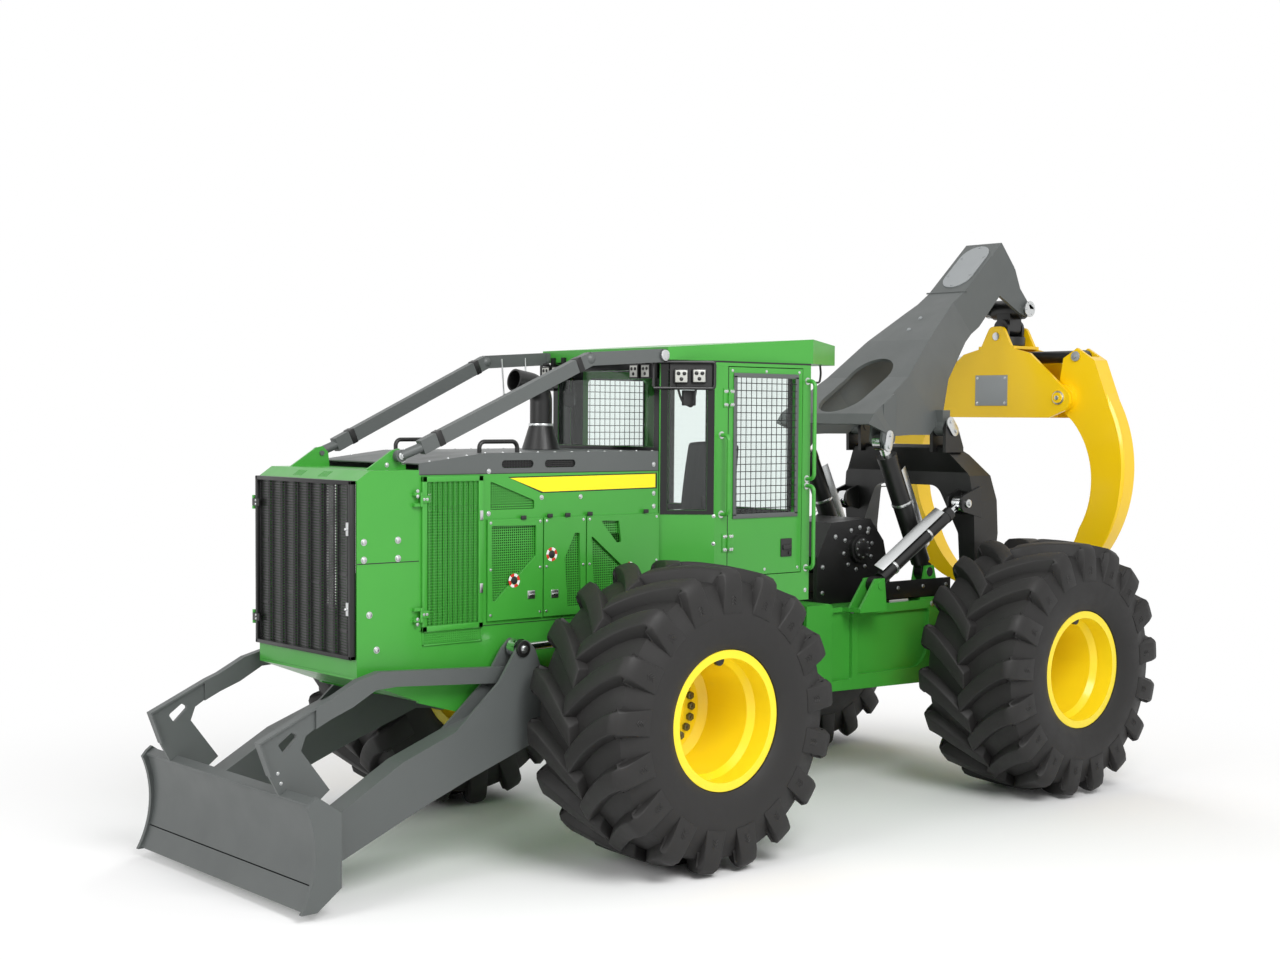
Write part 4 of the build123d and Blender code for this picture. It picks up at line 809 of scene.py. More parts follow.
# ---- hood ---------------------------------------------------------------------------------------
@dataclass
class Hood:
    """Meshes, stripe, bolts and latches of the cowl and the engine hood."""

    face: float = 0.585
    panel: float = 0.603
    mesh_x: float = 0.581
    holes: tuple = ((-0.995, -0.625, 1.685, 2.175), (-0.405, -0.25, 1.615, 2.105), (-0.095, 0.095, 2.018, 2.178),
                    (-0.178, 0.128, 1.628, 2.084))
    slots: tuple = (-0.772, -0.425)
    stripe: tuple = ((-0.852, 2.477), (-0.579, 2.368), (0.419, 2.379), (0.418, 2.486))
    rings: tuple = ((-0.811, 1.813), (-0.506, 1.968), (0.165, 1.843))
    latches: tuple = ((-0.674, 1.715), (-0.481, 1.71))
    tabs: tuple = ((-0.741, 2.216), (-0.526, 2.222), (-0.379, 2.223), (-0.191, 2.225), (0.302, 2.228))
    cowl_bolts: tuple = ((-1.927, 2.101), (-1.684, 2.105), (-1.927, 1.994), (-1.684, 1.994), (-1.889, 1.66),
                         (-1.837, 1.445))
    wall_bolts: tuple = ((-1.003, 2.247), (-0.579, 2.34), (-0.254, 2.338), (0.39, 2.346), (0.391, 2.258))

    def meshes(self) -> None:
        """Punched sheets behind the holes of the panels and the cover."""
        shape = Shape()
        for y0, y1, z0, z1 in self.holes:
            cells = (round((y1 - y0) / 0.016), round((z1 - z0) / 0.016))
            shape.perforated(lambda a, b: (self.mesh_x, y0 + a, z0 + b), (y1 - y0, z1 - z0), cells, 0.0035)
        shape.perforated(lambda a, b: (self.mesh_x - 0.010, -0.995 + a, 2.262 + b), (0.365, 0.195), (23, 12), 0.0035)
        shape.perforated(lambda a, b: (self.face + 0.003, -1.502 + a, 1.455 + b), (0.439, 0.07), (30, 5), 0.003)
        for y in (-1.508, -1.067):
            shape.box((self.face - 0.001, y, 1.445), (self.face + 0.008, y + 0.010, 1.535), 0.001)
        for z in (1.442, 1.525):
            shape.box((self.face - 0.001, -1.508, z), (self.face + 0.008, -1.057, z + 0.010), 0.001)
        shape.mirror()
        shape.piece("hood_meshes", GREEN, "chassis", "green_paint")
        dark = Shape()
        for y in self.slots:
            dark.perforated(lambda a, b: (self.mesh_x - 0.006, y - 0.125 + a, 2.533 + b), (0.25, 0.05), (20, 4), 0.003)
        dark.mirror()
        dark.piece("cover_slot_meshes", BLACK, "chassis", "black_paint")

    def decals(self) -> None:
        """Blank yellow stripe with a black edge, and the ring marks of the fire ports."""
        middle = Vector((sum(y for y, _ in self.stripe) / 4, sum(z for _, z in self.stripe) / 4))
        inner = [tuple(middle + (Vector(c) - middle) * 0.975) for c in self.stripe]
        inner = [(y, z + (0.006 if z < middle.y else -0.006)) for y, z in inner]
        for name, outline, x, finish, slot in (("stripe_border", self.stripe, 0.0003, BLACK, "black_paint"),
                                               ("hood_stripe", inner, 0.0009, STRIPE, "yellow_paint")):
            shape = Shape()
            shape.prism(outline, "x", self.face - 0.001, self.face + x)
            shape.mirror()
            shape.piece(name, finish, "chassis", slot)
        for name, parts, finish in (("fire_port_rings_red", (0, 2, 4, 6), RED),
                                    ("fire_port_rings_white", (1, 3, 5, 7), WHITE)):
            shape = Shape()
            for y, z in self.rings:
                disc_x(shape, (self.panel, y, z), 0.045, 0.0008, 0.027, parts, 8)
            shape.mirror()
            shape.piece(name, finish, "chassis", "green_paint")
        shape = Shape()
        for y, z in self.rings:
            shape.rod((self.panel - 0.001, y, z), (self.panel + 0.002, y, z), 0.024, 20, bevel=0.001)
        for y, z in self.tabs:
            shape.box((self.panel, y - 0.02, z - 0.014), (self.panel + 0.012, y + 0.02, z + 0.012), 0.003)
        shape.mirror()
        shape.piece("port_plugs_and_tabs", PLASTIC, "chassis", "black_paint")

    def seams(self) -> None:
        """Dark joints between the sheets."""
        shape = Shape()
        for z in (1.535, 2.497):
            shape.box((self.face - 0.002, -1.525, z), (self.face + 0.0006, 0.428, z + 0.005))
        shape.box((self.face - 0.002, -1.975, 1.967), (self.face + 0.0006, -1.53, 1.973))
        shape.mirror()
        shape.piece("sheet_joints", PLASTIC, "chassis", "black_paint")

    def bolts(self) -> None:
        """Plated bolts, latches and screws."""
        shape = Shape()
        inward = (-1, 0, 0)
        fastened(shape, "cowl", [(0.9, y, z) for y, z in self.cowl_bolts], inward, 0.016)
        fastened(shape, "hood_sides", [(0.9, y, z) for y, z in self.wall_bolts], inward, 0.012)
        fastened(shape, "hood_top", [(0.9, y, z) for y, z in ((-1.002, 2.515), (0.388, 2.543))], inward, 0.012)
        fastened(shape, "cowl", [(0.9, -1.617, 2.615), (0.9, -1.56, 2.575), (0.9, -1.68, 2.56)], inward, 0.011)
        fastened(shape, "hood_top", row((0.565, -1.44, 3), (0.565, 0.39, 3), 14), (0, 0, -1), 0.007)
        for box in ((-1.01, -0.59), (-0.56, -0.23), (-0.20, 0.415)):
            for z in (1.60, 1.89, 2.188):
                fastened(shape, "service_panels", [(0.9, y, z) for y in (box[0] + 0.012, box[1] - 0.012)], inward,
                         0.007)
        for y, z in self.latches:
            shape.box((self.panel - 0.001, y - 0.03, z - 0.027), (self.panel + 0.005, y + 0.03, z + 0.027), 0.003)
            shape.box((self.panel + 0.004, y - 0.022, z - 0.006), (self.panel + 0.016, y + 0.022, z + 0.006), 0.003)
        for z in (1.599, 2.386):
            for dz in (-0.016, 0.016):
                shape.dome((self.face + 0.027, -1.558, z + dz), (1, 0, 0), 0.008)
        shape.mirror()
        shape.piece("hood_bolts", ZINC, "chassis", "hard_chrome")

    def build(self) -> None:
        """Make every hood fitting."""
        self.meshes()
        self.decals()
        self.seams()
        self.bolts()
        LOG.info("hood")


@dataclass
class Risers:
    """Caps, clamps and straps of the limb risers and the intake's band."""

    cap: tuple[float, float, float] = (0.679, 0.400, 3.283)
    bend: tuple[float, float, float] = (0.581, -0.185, 3.245)
    tip: tuple[float, float, float] = (0.501, -1.462, 2.666)
    intake: tuple[float, float] = (-0.200, 0.024)

    def build(self) -> None:
        """Make the fittings."""
        shape = Shape()
        shape.rod((self.cap[0] - 0.006, *self.cap[1:]), (self.cap[0] + 0.012, *self.cap[1:]), 0.038, 28, bevel=0.004)
        for k in range(3):
            angle = math.tau * k / 3 + 0.5
            shape.bolt((self.cap[0] + 0.012, self.cap[1] + 0.022 * math.cos(angle),
                        self.cap[2] + 0.022 * math.sin(angle)), (1, 0, 0), 0.006, False)
        shape.rod((0.502, -1.6, 2.615), (0.508, -1.6, 2.615), 0.024, 20, bevel=0.002)
        shape.bolt((0.508, -1.6, 2.615), (1, 0, 0), 0.012)
        shape.mirror()
        x, y = self.intake
        shape.rod((x, y, 2.797), (x, y, 2.815), 0.0855, 40, bevel=0.002)
        shape.box((x - 0.013, y - 0.100, 2.796), (x + 0.013, y - 0.082, 2.816), 0.002)
        for a, b in (((-0.56, -0.052, 3.270), (-0.56, -0.033, 3.019)), ((-0.59, 0.179, 3.285), (-0.59, 0.188, 3.102))):
            shape.rod(a, b, 0.006, 8)
            shape.bolt(b, (1, 0, 0), 0.010, False)
        shape.piece("riser_caps", ZINC, "chassis", "hard_chrome")
        clamps = Shape()
        way = (Vector(self.bend) - Vector(self.tip)).normalized()
        for t in (0.10, 0.93):
            middle = Vector(self.tip).lerp(Vector(self.bend), t)
            turn = way.to_track_quat("Z", "Y").to_matrix().to_4x4()
            verts = clamps.box((-0.034, -0.049, -0.022), (0.034, 0.049, 0.022))
            clamps.place(verts, middle, turn)
            clamps.bevel(verts, 0.004)
        clamps.mirror()
        clamps.piece("riser_clamps", BLACK, "chassis", "grey_paint")
        LOG.info("risers")


# ---- cab ----------------------------------------------------------------------------------------
@dataclass
class CabOutside:
    """Lamps, mirrors, door guards and handles round the cab."""

    lamp_a: tuple[float, float] = (0.62, 0.352)
    lamp_b: tuple[float, float] = (0.86, 0.694)
    lamp_z: tuple[float, float] = (3.063, 3.240)
    window: tuple = ((0.93, 1.53), (2.185, 3.155))
    wire: float = 0.0028

    def lamp_frame(self) -> None:
        """Black bracket along the corner pane with two square lamps."""
        frame_shape, lens = Shape(), Shape()
        a, b = Vector((*self.lamp_a, 0)), Vector((*self.lamp_b, 0))
        along = (b - a).normalized()
        out = Vector((along.y, -along.x, 0))
        low, high = Vector((0, 0, self.lamp_z[0])), Vector((0, 0, self.lamp_z[1]))
        frame_shape.tube([a + low, b + low, b + high, a + high, a + low.lerp(high, 0.05)],
                         0.011, 8, 0.02, 3)
        frame_shape.rod(a + high, a + high - out * 0.06, 0.010, 8)
        frame_shape.rod(b + high, b + high - out * 0.06, 0.010, 8)
        for spot in (Vector((0.727, 0.505, 3.144)), Vector((0.798, 0.606, 3.147))):
            for made, half, depth, lift in ((frame_shape, 0.050, (-0.03, 0.012), 0.010),
                                            (lens, 0.041, (0.012, 0.016), 0.003)):
                verts = made.box((-half, -half, depth[0]), (half, half, depth[1]))
                turn = out.to_track_quat("Z", "Y").to_matrix().to_4x4()
                made.place(verts, spot, turn)
                made.bevel(verts, lift)
            for across, rise in ((-0.02, 0.018), (0.02, 0.018), (0, -0.02)):
                frame_shape.dome(spot + along * across + out * 0.0155 + Vector((0, 0, rise)), out, 0.010)
        plate = [a.lerp(b, t) - out * d for t, d in ((0.27, 0.02), (0.97, 0.02), (0.97, 0.03), (0.27, 0.03))]
        frame_shape.prism([(p.x, p.y) for p in plate], "z", self.lamp_z[0] + 0.008, self.lamp_z[1] - 0.004)
        for x in (0.43, 0.55):
            lens.box((x - 0.037, 0.3315, 3.138), (x + 0.037, 0.3355, 3.217), 0.0015)
            for across, rise in ((-0.018, 0.195), (0.018, 0.195), (0, 0.16)):
                frame_shape.dome((x + across, 0.332, 3.0 + rise), (0, -1, 0), 0.009)
        for made, name, finish, slot in ((frame_shape, "corner_lamp_frame", BLACK, "black_paint"),
                                         (lens, "lamp_lenses", LENS, "cab_glass")):
            made.mirror()
            made.piece(name, finish, "chassis", slot)

    def mirrors(self) -> None:
        """Tube loops with small convex mirrors under the lamps."""
        shape, glass = Shape(), Shape()
        for x in (0.70, -0.62):
            shape.tube([(x, 0.49, 3.09), (x, 0.526, 3.001), (x, 0.552, 2.963), (x, 0.631, 2.935), (x, 0.669, 3.042),
                        (x, 0.66, 3.09)], 0.008, 8, 0.02, 3)
            verts = shape.box((x - 0.012, 0.545, 2.945), (x + 0.012, 0.66, 3.05))
            shape.bevel(verts, 0.006)
            glass.box((x - 0.008, 0.66, 2.953), (x + 0.008, 0.6625, 3.042), 0.001)
        shape.piece("mirrors", PLASTIC, "chassis", "black_paint")
        glass.piece("mirror_faces", CHROME, "chassis", "hard_chrome")

    def door_guard(self, side: Side) -> None:
        """Make the frame and wire mesh over one door's window, with its hinge bolts and handle.

        Args:
            side: side of the machine.
        """
        word, sign = side.word, side.value
        (y0, y1), (z0, z1) = self.window
        ring, wires, zinc, black, plate = Shape(), Shape(), Shape(), Shape(), Shape()
        x0, x1 = 0.8205, 0.829
        for low, high in (((y0 - 0.02, z0 - 0.02), (y1 + 0.02, z0 + 0.012)),
                          ((y0 - 0.02, z1 - 0.012), (y1 + 0.02, z1 + 0.02)),
                          ((y0 - 0.02, z0), (y0 + 0.012, z1)), ((y1 - 0.012, z0), (y1 + 0.02, z1))):
            ring.box((x0, *low), (x1, *high), 0.002)
        for y in row((y0 + 0.05, 0, 0), (y1 - 0.05, 0, 0), 11):
            wires.rod((x1 - 0.004, y.x, z0), (x1 - 0.004, y.x, z1), self.wire, 6)
        for z in row((z0 + 0.05, 0, 0), (z1 - 0.05, 0, 0), 18):
            wires.rod((x1 + self.wire - 0.003, y0, z.x), (x1 + self.wire - 0.003, y1, z.x), self.wire, 6)
        for z in (2.0, 3.0):
            plate.box((0.8203, 0.869, z - 0.065), (0.8262, 0.918, z + 0.065), 0.0015)
            for dz in (-0.045, 0.045):
                for dy in (0.885, 0.905):
                    zinc.dome((0.8262, dy, z + dz), (1, 0, 0), 0.0085)
        for y, z in [(y, z) for z in (1.80, 3.19) for y in (0.90, 1.23, 1.56)]:
            zinc.dome((0.8199, y, z), (1, 0, 0), 0.008)
        black.box((0.8195, 1.387, 1.88), (0.828, 1.497, 2.01), 0.004)
        black.box((0.827, 1.400, 1.93), (0.842, 1.485, 1.965), 0.006)
        black.rod((0.827, 1.47, 1.905), (0.836, 1.47, 1.905), 0.012, 16, bevel=0.002)
        for made, name, finish, slot in ((ring, "window_guard_frame", GREY, "grey_paint"),
                                         (wires, "window_guard_mesh", BLACK, "black_paint"),
                                         (zinc, "door_bolts", ZINC, "hard_chrome"),
                                         (plate, "hinge_plates", GREEN, "green_paint"),
                                         (black, "door_handle", PLASTIC, "black_paint")):
            made.flip(sign)
            made.piece(f"{word}_{name}", finish, f"{word}_cab_door", slot)

    def glass_borders(self) -> None:
        """Black borders baked round the windscreen and the corner panes, and the door gap's seal."""
        border = Shape()
        a, b = Vector((0.585, 0.44, 0)), Vector((0.82, 0.74, 0))
        length, way = (b - a).length, (b - a).normalized()
        turn = panel_axes(way)
        sides = ((0.006, 0.054, 2.20, 3.240), (length - 0.054, length - 0.006, 2.20, 3.240),
                 (0.054, length - 0.054, 2.20, 2.229), (0.054, length - 0.054, 3.191, 3.240))
        for low, high, bottom, top in sides:
            verts = border.box((low, bottom, 0.0003), (high, top, 0.004))
            border.place(verts, a, turn)
        for low, high, bottom, top in ((0.055, 0.058, 2.23, 3.19), (length - 0.058, length - 0.055, 2.23, 3.19),
                                       (0.055, length - 0.055, 2.23, 2.233), (0.055, length - 0.055, 3.187, 3.19)):
            verts = border.box((low, bottom, -0.052), (high, top, 0.0))
            border.place(verts, a, turn)
        for x, y, z in (((0.527, 0.530), (0.441, 0.489), (2.66, 3.19)), ((0, 0.530), (0.441, 0.489), (2.66, 2.663)),
                        ((0, 0.530), (0.441, 0.489), (3.187, 3.19)), ((0.637, 0.640), (1.631, 1.679), (2.2, 3.17)),
                        ((0, 0.640), (1.631, 1.679), (2.2, 2.203)), ((0, 0.640), (1.631, 1.679), (3.167, 3.17))):
            border.box((x[0], y[0], z[0]), (x[1], y[1], z[1]))
        for low, high, bottom, top in ((0.531, 0.580, 2.63, 3.240), (0, 0.531, 2.63, 2.659), (0, 0.531, 3.191, 3.240)):
            border.box((low, 0.436, bottom), (high, 0.4397, top))
        border.box((0.8195, 0.8605, 1.762), (0.8215, 0.8655, 3.218))
        border.mirror()
        border.piece("glass_borders", CERAMIC, "chassis", "black_paint")

    def trim(self) -> None:
        """Roof seam, hatch strip, rear handles and the bolts of the shell."""
        dark = Shape()
        for a, b in (((0.585, 0.44), (0.82, 0.74)), ((0.82, 0.74), (0.82, 1.68))):
            way = (Vector(b) - Vector(a)).normalized()
            out = Vector((way.y, -way.x))
            corners = [Vector(a) + out * 0.001, Vector(b) + out * 0.001, Vector(b) - out * 0.01, Vector(a) - out * 0.01]
            dark.prism([tuple(c) for c in corners], "z", 3.243, 3.2545)
        dark.tube([(0.52, 1.95, 3.26), (0.52, 1.97, 3.19), (0.52, 1.972, 3.13), (0.52, 2.088, 3.13), (0.52, 2.10, 3.2),
                   (0.52, 2.09, 3.26)], 0.008, 8, 0.02, 3)
        dark.mirror()
        dark.box((-0.533, 0.4385, 3.243), (0.533, 0.45, 3.2545))
        dark.piece("roof_seam", BLACK, "chassis", "black_paint")
        self.glass_borders()
        zinc = Shape()
        slope = (-0.787, 0.617, 0)
        fastened(zinc, "cab_shell", [(1.0, 0.832 - 0.24, z) for z in (1.72, 2.0, 2.19)], slope, 0.010)
        fastened(zinc, "cab_shell", [(1.2, y, 1.63) for y in (0.80, 1.642)], (-1, 0, 0), 0.012)
        for y in (1.645, 0.800):
            for z in ((1.79, 2.38, 2.43, 3.13) if y > 1 else (2.2, 2.745)):
                zinc.rod((0.8198, y, z), (0.824, y, z), 0.026, 20, bevel=0.001)
        fixed = Shape()
        for z in (2.0, 3.0):
            fixed.box((0.8202, 0.812, z - 0.065), (0.8262, 0.8575, z + 0.065), 0.0015)
            for dz in (-0.045, 0.045):
                zinc.dome((0.8262, 0.828, z + dz), (1, 0, 0), 0.0085)
                zinc.dome((0.8262, 0.846, z + dz), (1, 0, 0), 0.0085)
        fixed.mirror()
        fixed.piece("fixed_hinge_plates", GREEN, "chassis", "green_paint")
        zinc.mirror()
        zinc.piece("cab_bolts", ZINC, "chassis", "hard_chrome")

    def build(self) -> None:
        """Make everything outside the cab."""
        self.lamp_frame()
        self.mirrors()
        for side in Side:
            self.door_guard(side)
        self.trim()
        LOG.info("cab outside")


@dataclass
class Cushion:
    """A crowned seat pad with two sewn channels and piping round its rim."""

    middle: tuple[float, float, float]
    half: tuple[float, float, float]
    crown: float = 0.22
    pinch: float = 0.05
    channels: tuple[float, ...] = (-0.42, 0.42)
    groove: float = 0.10

    def local(self, p: Vector, face: float) -> Vector:
        """Carry a point of the unit pad to its crowned place.

        Args:
            p: place in the unit cube, from -1 to 1.
            face: 1 on the side that is sat on.

        Returns:
            The place in the pad's own axes.
        """
        dome = (1 - p.x ** 4) * (1 - p.y ** 4)
        sunk = sum(math.exp(-((p.x - c) / 0.035) ** 2) for c in self.channels) * self.groove if p.z > 0 else 0.0
        pulled = 1 - self.pinch * p.y ** 2 * (1 if abs(p.x) > 0.99 else p.x ** 8)
        side = 1 - self.pinch * p.x ** 2 * (1 if abs(p.y) > 0.99 else p.y ** 8)
        high = p.z * (1 - self.crown) + (self.crown * dome - sunk * min(1.0, dome * 1.6)) * face
        return Vector((p.x * pulled * self.half[0], p.y * side * self.half[1], high * self.half[2]))

    def build(self, name: str, tilt: float) -> bpy.types.Object:
        """Make the pad.

        Args:
            name: the piece's name.
            tilt: angle it leans back from level, in radians.

        Returns:
            The finished piece.
        """
        shape = Shape()
        bmesh.ops.create_cube(shape.bm, size=2.0)
        bmesh.ops.subdivide_edges(shape.bm, edges=shape.bm.edges[:], cuts=31, use_grid_fill=True)
        for v in shape.bm.verts:
            v.co = self.local(v.co.copy(), 1.0 if v.co.z > 0 else 0.0)
        rim = [e for e in shape.bm.edges if len(e.link_faces) == 2 and e.calc_face_angle(0) > math.radians(50)]
        bmesh.ops.bevel(shape.bm, geom=rim, offset=0.016, segments=3, profile=0.5, affect="EDGES", material=-1)
        corners = ((-0.97, -0.97), (0.97, -0.97), (0.97, 0.97), (-0.97, 0.97), (-0.97, -0.97))
        piping = [self.local(Vector((x, y, 1)), 1.0) for x, y in corners]
        lift = Vector((0, 0, -0.004))
        shape.tube([p + lift for p in piping], 0.005, 8, 0.03, 4)
        turn = Matrix.Translation(Vector(self.middle)) @ Matrix.Rotation(tilt, 4, "X")
        bmesh.ops.transform(shape.bm, matrix=turn, verts=shape.bm.verts[:])
        made = shape.piece(name, VINYL, "chassis", "seat_vinyl", 60)
        return made


@dataclass
class CabInside:
    """Driver's seat, levers and the desk's fittings."""

    floor: float = 1.60

    def seat(self) -> None:
        """Make the sprung base, the two pads, the arm rests and the belt guides."""
        base = Shape()
        base.box((-0.19, 1.0, self.floor), (0.19, 1.40, 1.70), 0.02)
        for k in range(4):
            base.box((-0.17 + 0.006 * (k % 2), 1.02, 1.705 + 0.04 * k),
                     (0.17 - 0.006 * (k % 2), 1.38, 1.74 + 0.04 * k), 0.015)
        base.box((-0.24, 0.99, 1.87), (0.24, 1.44, 1.905), 0.01)
        base.prism([(1.47, 1.95), (1.485, 1.95), (1.555, 2.66), (1.54, 2.66)], "x", -0.21, 0.21, 0.004)
        for x in (-0.255, 0.21):
            base.box((x, 1.10, 2.11), (x + 0.045, 1.42, 2.15), 0.015)
            base.box((x + 0.01, 1.38, 2.06), (x + 0.035, 1.42, 2.12), 0.005)
        made = base.piece("seat_base", PLASTIC, "chassis", "seat_vinyl")
        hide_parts("cab_seat")
        Cushion((0, 1.20, 1.968), (0.25, 0.235, 0.062)).build("seat_cushion", 0.0)
        Cushion((0, 1.455, 2.37), (0.24, 0.315, 0.055)).build("seat_back", math.radians(81.5))

    def controls(self) -> None:
        """Make the side consoles with their levers and knobs, a blank display and the desk buttons; there is no
        steering wheel.
        """
        shape, knobs, red = Shape(), Shape(), Shape()
        for x in (-0.31, 0.31):
            shape.box((x - 0.05, 1.08, self.floor), (x + 0.05, 1.42, 2.10), 0.012)
            shape.rod((x, 1.13, 2.095), (x, 1.11, 2.22), 0.011, 12)
            knobs.rod((x, 1.112, 2.21), (x, 1.098, 2.30), 0.022, 16, 0.017, 0.006)
        shape.box((-0.11, 0.655, 2.27), (0.11, 0.675, 2.42), 0.006)
        for x in (-0.16, -0.12, 0.12, 0.16):
            red.rod((x, 0.75, 2.19), (x, 0.764, 2.208), 0.011, 12, bevel=0.002)
        shape.piece("side_consoles", PLASTIC, "chassis", "black_paint")
        knobs.piece("lever_knobs", VINYL, "chassis", "seat_vinyl")
        red.piece("desk_buttons", RED, "chassis", "black_paint")

    def lining(self) -> None:
        """Make the dark lining of the floor, the ceiling, the walls and the posts."""
        shape = Shape()
        plan = [(0.0, 0.493), (0.55, 0.493), (0.765, 0.762), (0.765, 1.627), (0.0, 1.627)]
        shape.prism(plan, "z", self.floor + 0.001, self.floor + 0.006)
        shape.prism(plan, "z", 3.208, 3.214)
        for x, y, z in (((0.764, 0.769), (0.765, 0.862), (1.607, 3.207)),
                        ((0.764, 0.769), (0.862, 1.598), (1.607, 1.755)),
                        ((0.764, 0.769), (1.598, 1.628), (1.607, 3.207)),
                        ((0.0, 0.764), (1.624, 1.629), (1.607, 2.195)),
                        ((0.645, 0.764), (1.624, 1.629), (2.195, 3.207)),
                        ((0.0, 0.548), (0.491, 0.496), (1.607, 2.655)),
                        ((0.0, 0.645), (1.624, 1.629), (3.172, 3.207)),
                        ((0.535, 0.552), (0.491, 0.496), (2.655, 3.207))):
            shape.box((x[0], y[0], z[0]), (x[1], y[1], z[1]))
        a, b = Vector((0.556, 0.493, 0)), Vector((0.7675, 0.763, 0))
        way, length = (b - a).normalized(), (b - a).length
        turn = panel_axes(way)
        for low, high, bottom, top in ((0.0, length, 1.607, 2.225), (0.0, 0.028, 2.225, 3.207),
                                       (length - 0.048, length, 2.225, 3.207)):
            verts = shape.box((low, bottom, -0.006), (high, top, -0.001))
            shape.place(verts, a, turn)
        shape.mirror()
        shape.piece("cab_lining", LINING, "chassis", "black_paint")

    def build(self) -> None:
        """Make everything inside the cab."""
        self.lining()
        self.seat()
        self.controls()
        LOG.info("cab inside")


# ---- blade and frame ----------------------------------------------------------------------------
@dataclass
class BladeTrim:
    """Seam and top lip of the blade, and the pin covers and bolts of its arms."""

    def build(self) -> None:
        """Make the blade's fittings."""
        shape, zinc, black = Shape(), Shape(), Shape()
        at = SKINS.hit("blade", (0, -3.2, 0.200), (0, 1, 0))
        black.box((-1.008, at.y - 0.0015, 0.197), (1.008, at.y + 0.004, 0.203))
        at = SKINS.hit("blade", (0, -3.2, 0.672), (0, 1, 0))
        shape.box((-1.009, at.y - 0.004, 0.655), (1.009, at.y + 0.01, 0.672), 0.002)
        shape.piece("blade_edge", GREY, "blade", "grey_paint")
        for y, z, r in ((-0.5, 0.9, 0.075), (-0.899, 1.402, 0.052)):
            at = SKINS.hit("blade_arms", (1.2, y, z), (-1, 0, 0)) if r < 0.06 else Vector((0.836, y, z))
            black.rod((at.x - 0.002, y, z), (at.x + 0.016, y, z), r, 28, bevel=0.004)
            zinc.bolt((at.x + 0.016, y, z), (1, 0, 0), r * 0.36)
        for y, z in ((-2.575, 0.80), (-2.555, 0.74)):
            zinc.dome(SKINS.hit("blade_arms", (1.2, y, z), (-1, 0, 0)), (1, 0, 0), 0.008)
        black.mirror()
        zinc.mirror()
        black.piece("blade_hubs_and_seam", BLACK, "blade", "black_paint")
        zinc.piece("blade_bolts", ZINC, "blade", "hard_chrome")
        LOG.info("blade")


@dataclass
class CylinderTrim:
    """Clamp rings, guard strip and hose stubs of a pair of hydraulic cylinders."""

    name: str
    base: tuple[float, float, float]
    eye: tuple[float, float, float]
    rings: tuple[float, ...]
    guard: tuple[float, float] | None
    width: float = 0.085
    tilt: float = math.radians(30)

    def lean(self, up: Vector) -> tuple[Vector, Vector]:
        """Return the guard's cross direction and its normal, leaning outwards from up."""
        side, c, s = Vector((1, 0, 0)), math.cos(self.tilt), math.sin(self.tilt)
        return side * c - up * s, side * s + up * c

    def build(self) -> None:
        """Make the fittings on the barrels."""
        shape, plate = Shape(), Shape()
        a, b = Vector(self.base), Vector(self.eye)
        way = (b - a).normalized()
        up = Vector((0, -way.z, way.y))
        if up.z < 0:
            up = -up
        middle = a + way * self.rings[0]
        hit = SKINS.hit(self.name, middle + Vector((0.5, 0, 0)), (-1, 0, 0))
        radius = hit.x - middle.x
        for t in self.rings:
            at = a + way * t
            shape.rod(at - way * 0.011, at + way * 0.011, radius + 0.006, 32, bevel=0.002)
        if self.guard:
            t0, t1 = self.guard
            edge, face = self.lean(up)
            turn = Matrix((edge, face.cross(edge), face)).transposed().to_4x4()
            half = self.width / 2
            verts = plate.box((-half, -(t1 - t0) / 2, 0), (half, (t1 - t0) / 2, 0.006))
            place = a + way * ((t0 + t1) / 2) + up * (radius + 0.010 + half * math.sin(self.tilt))
            plate.place(verts, place, turn)
            plate.bevel(verts, 0.002)
            for t in (t0 + 0.04, t1 - 0.04):
                at = a + way * t + up * radius
                plate.rod(at - up * 0.004, at + up * 0.014, 0.014, 10)
                plate.dome(at + up * 0.018, up, 0.011)
        for made, name in ((shape, "clamps"), (plate, "guards")):
            if made.bm.verts:
                made.mirror()
                made.piece(f"{self.name}_{name}", ZINC, self.name, "hard_chrome")


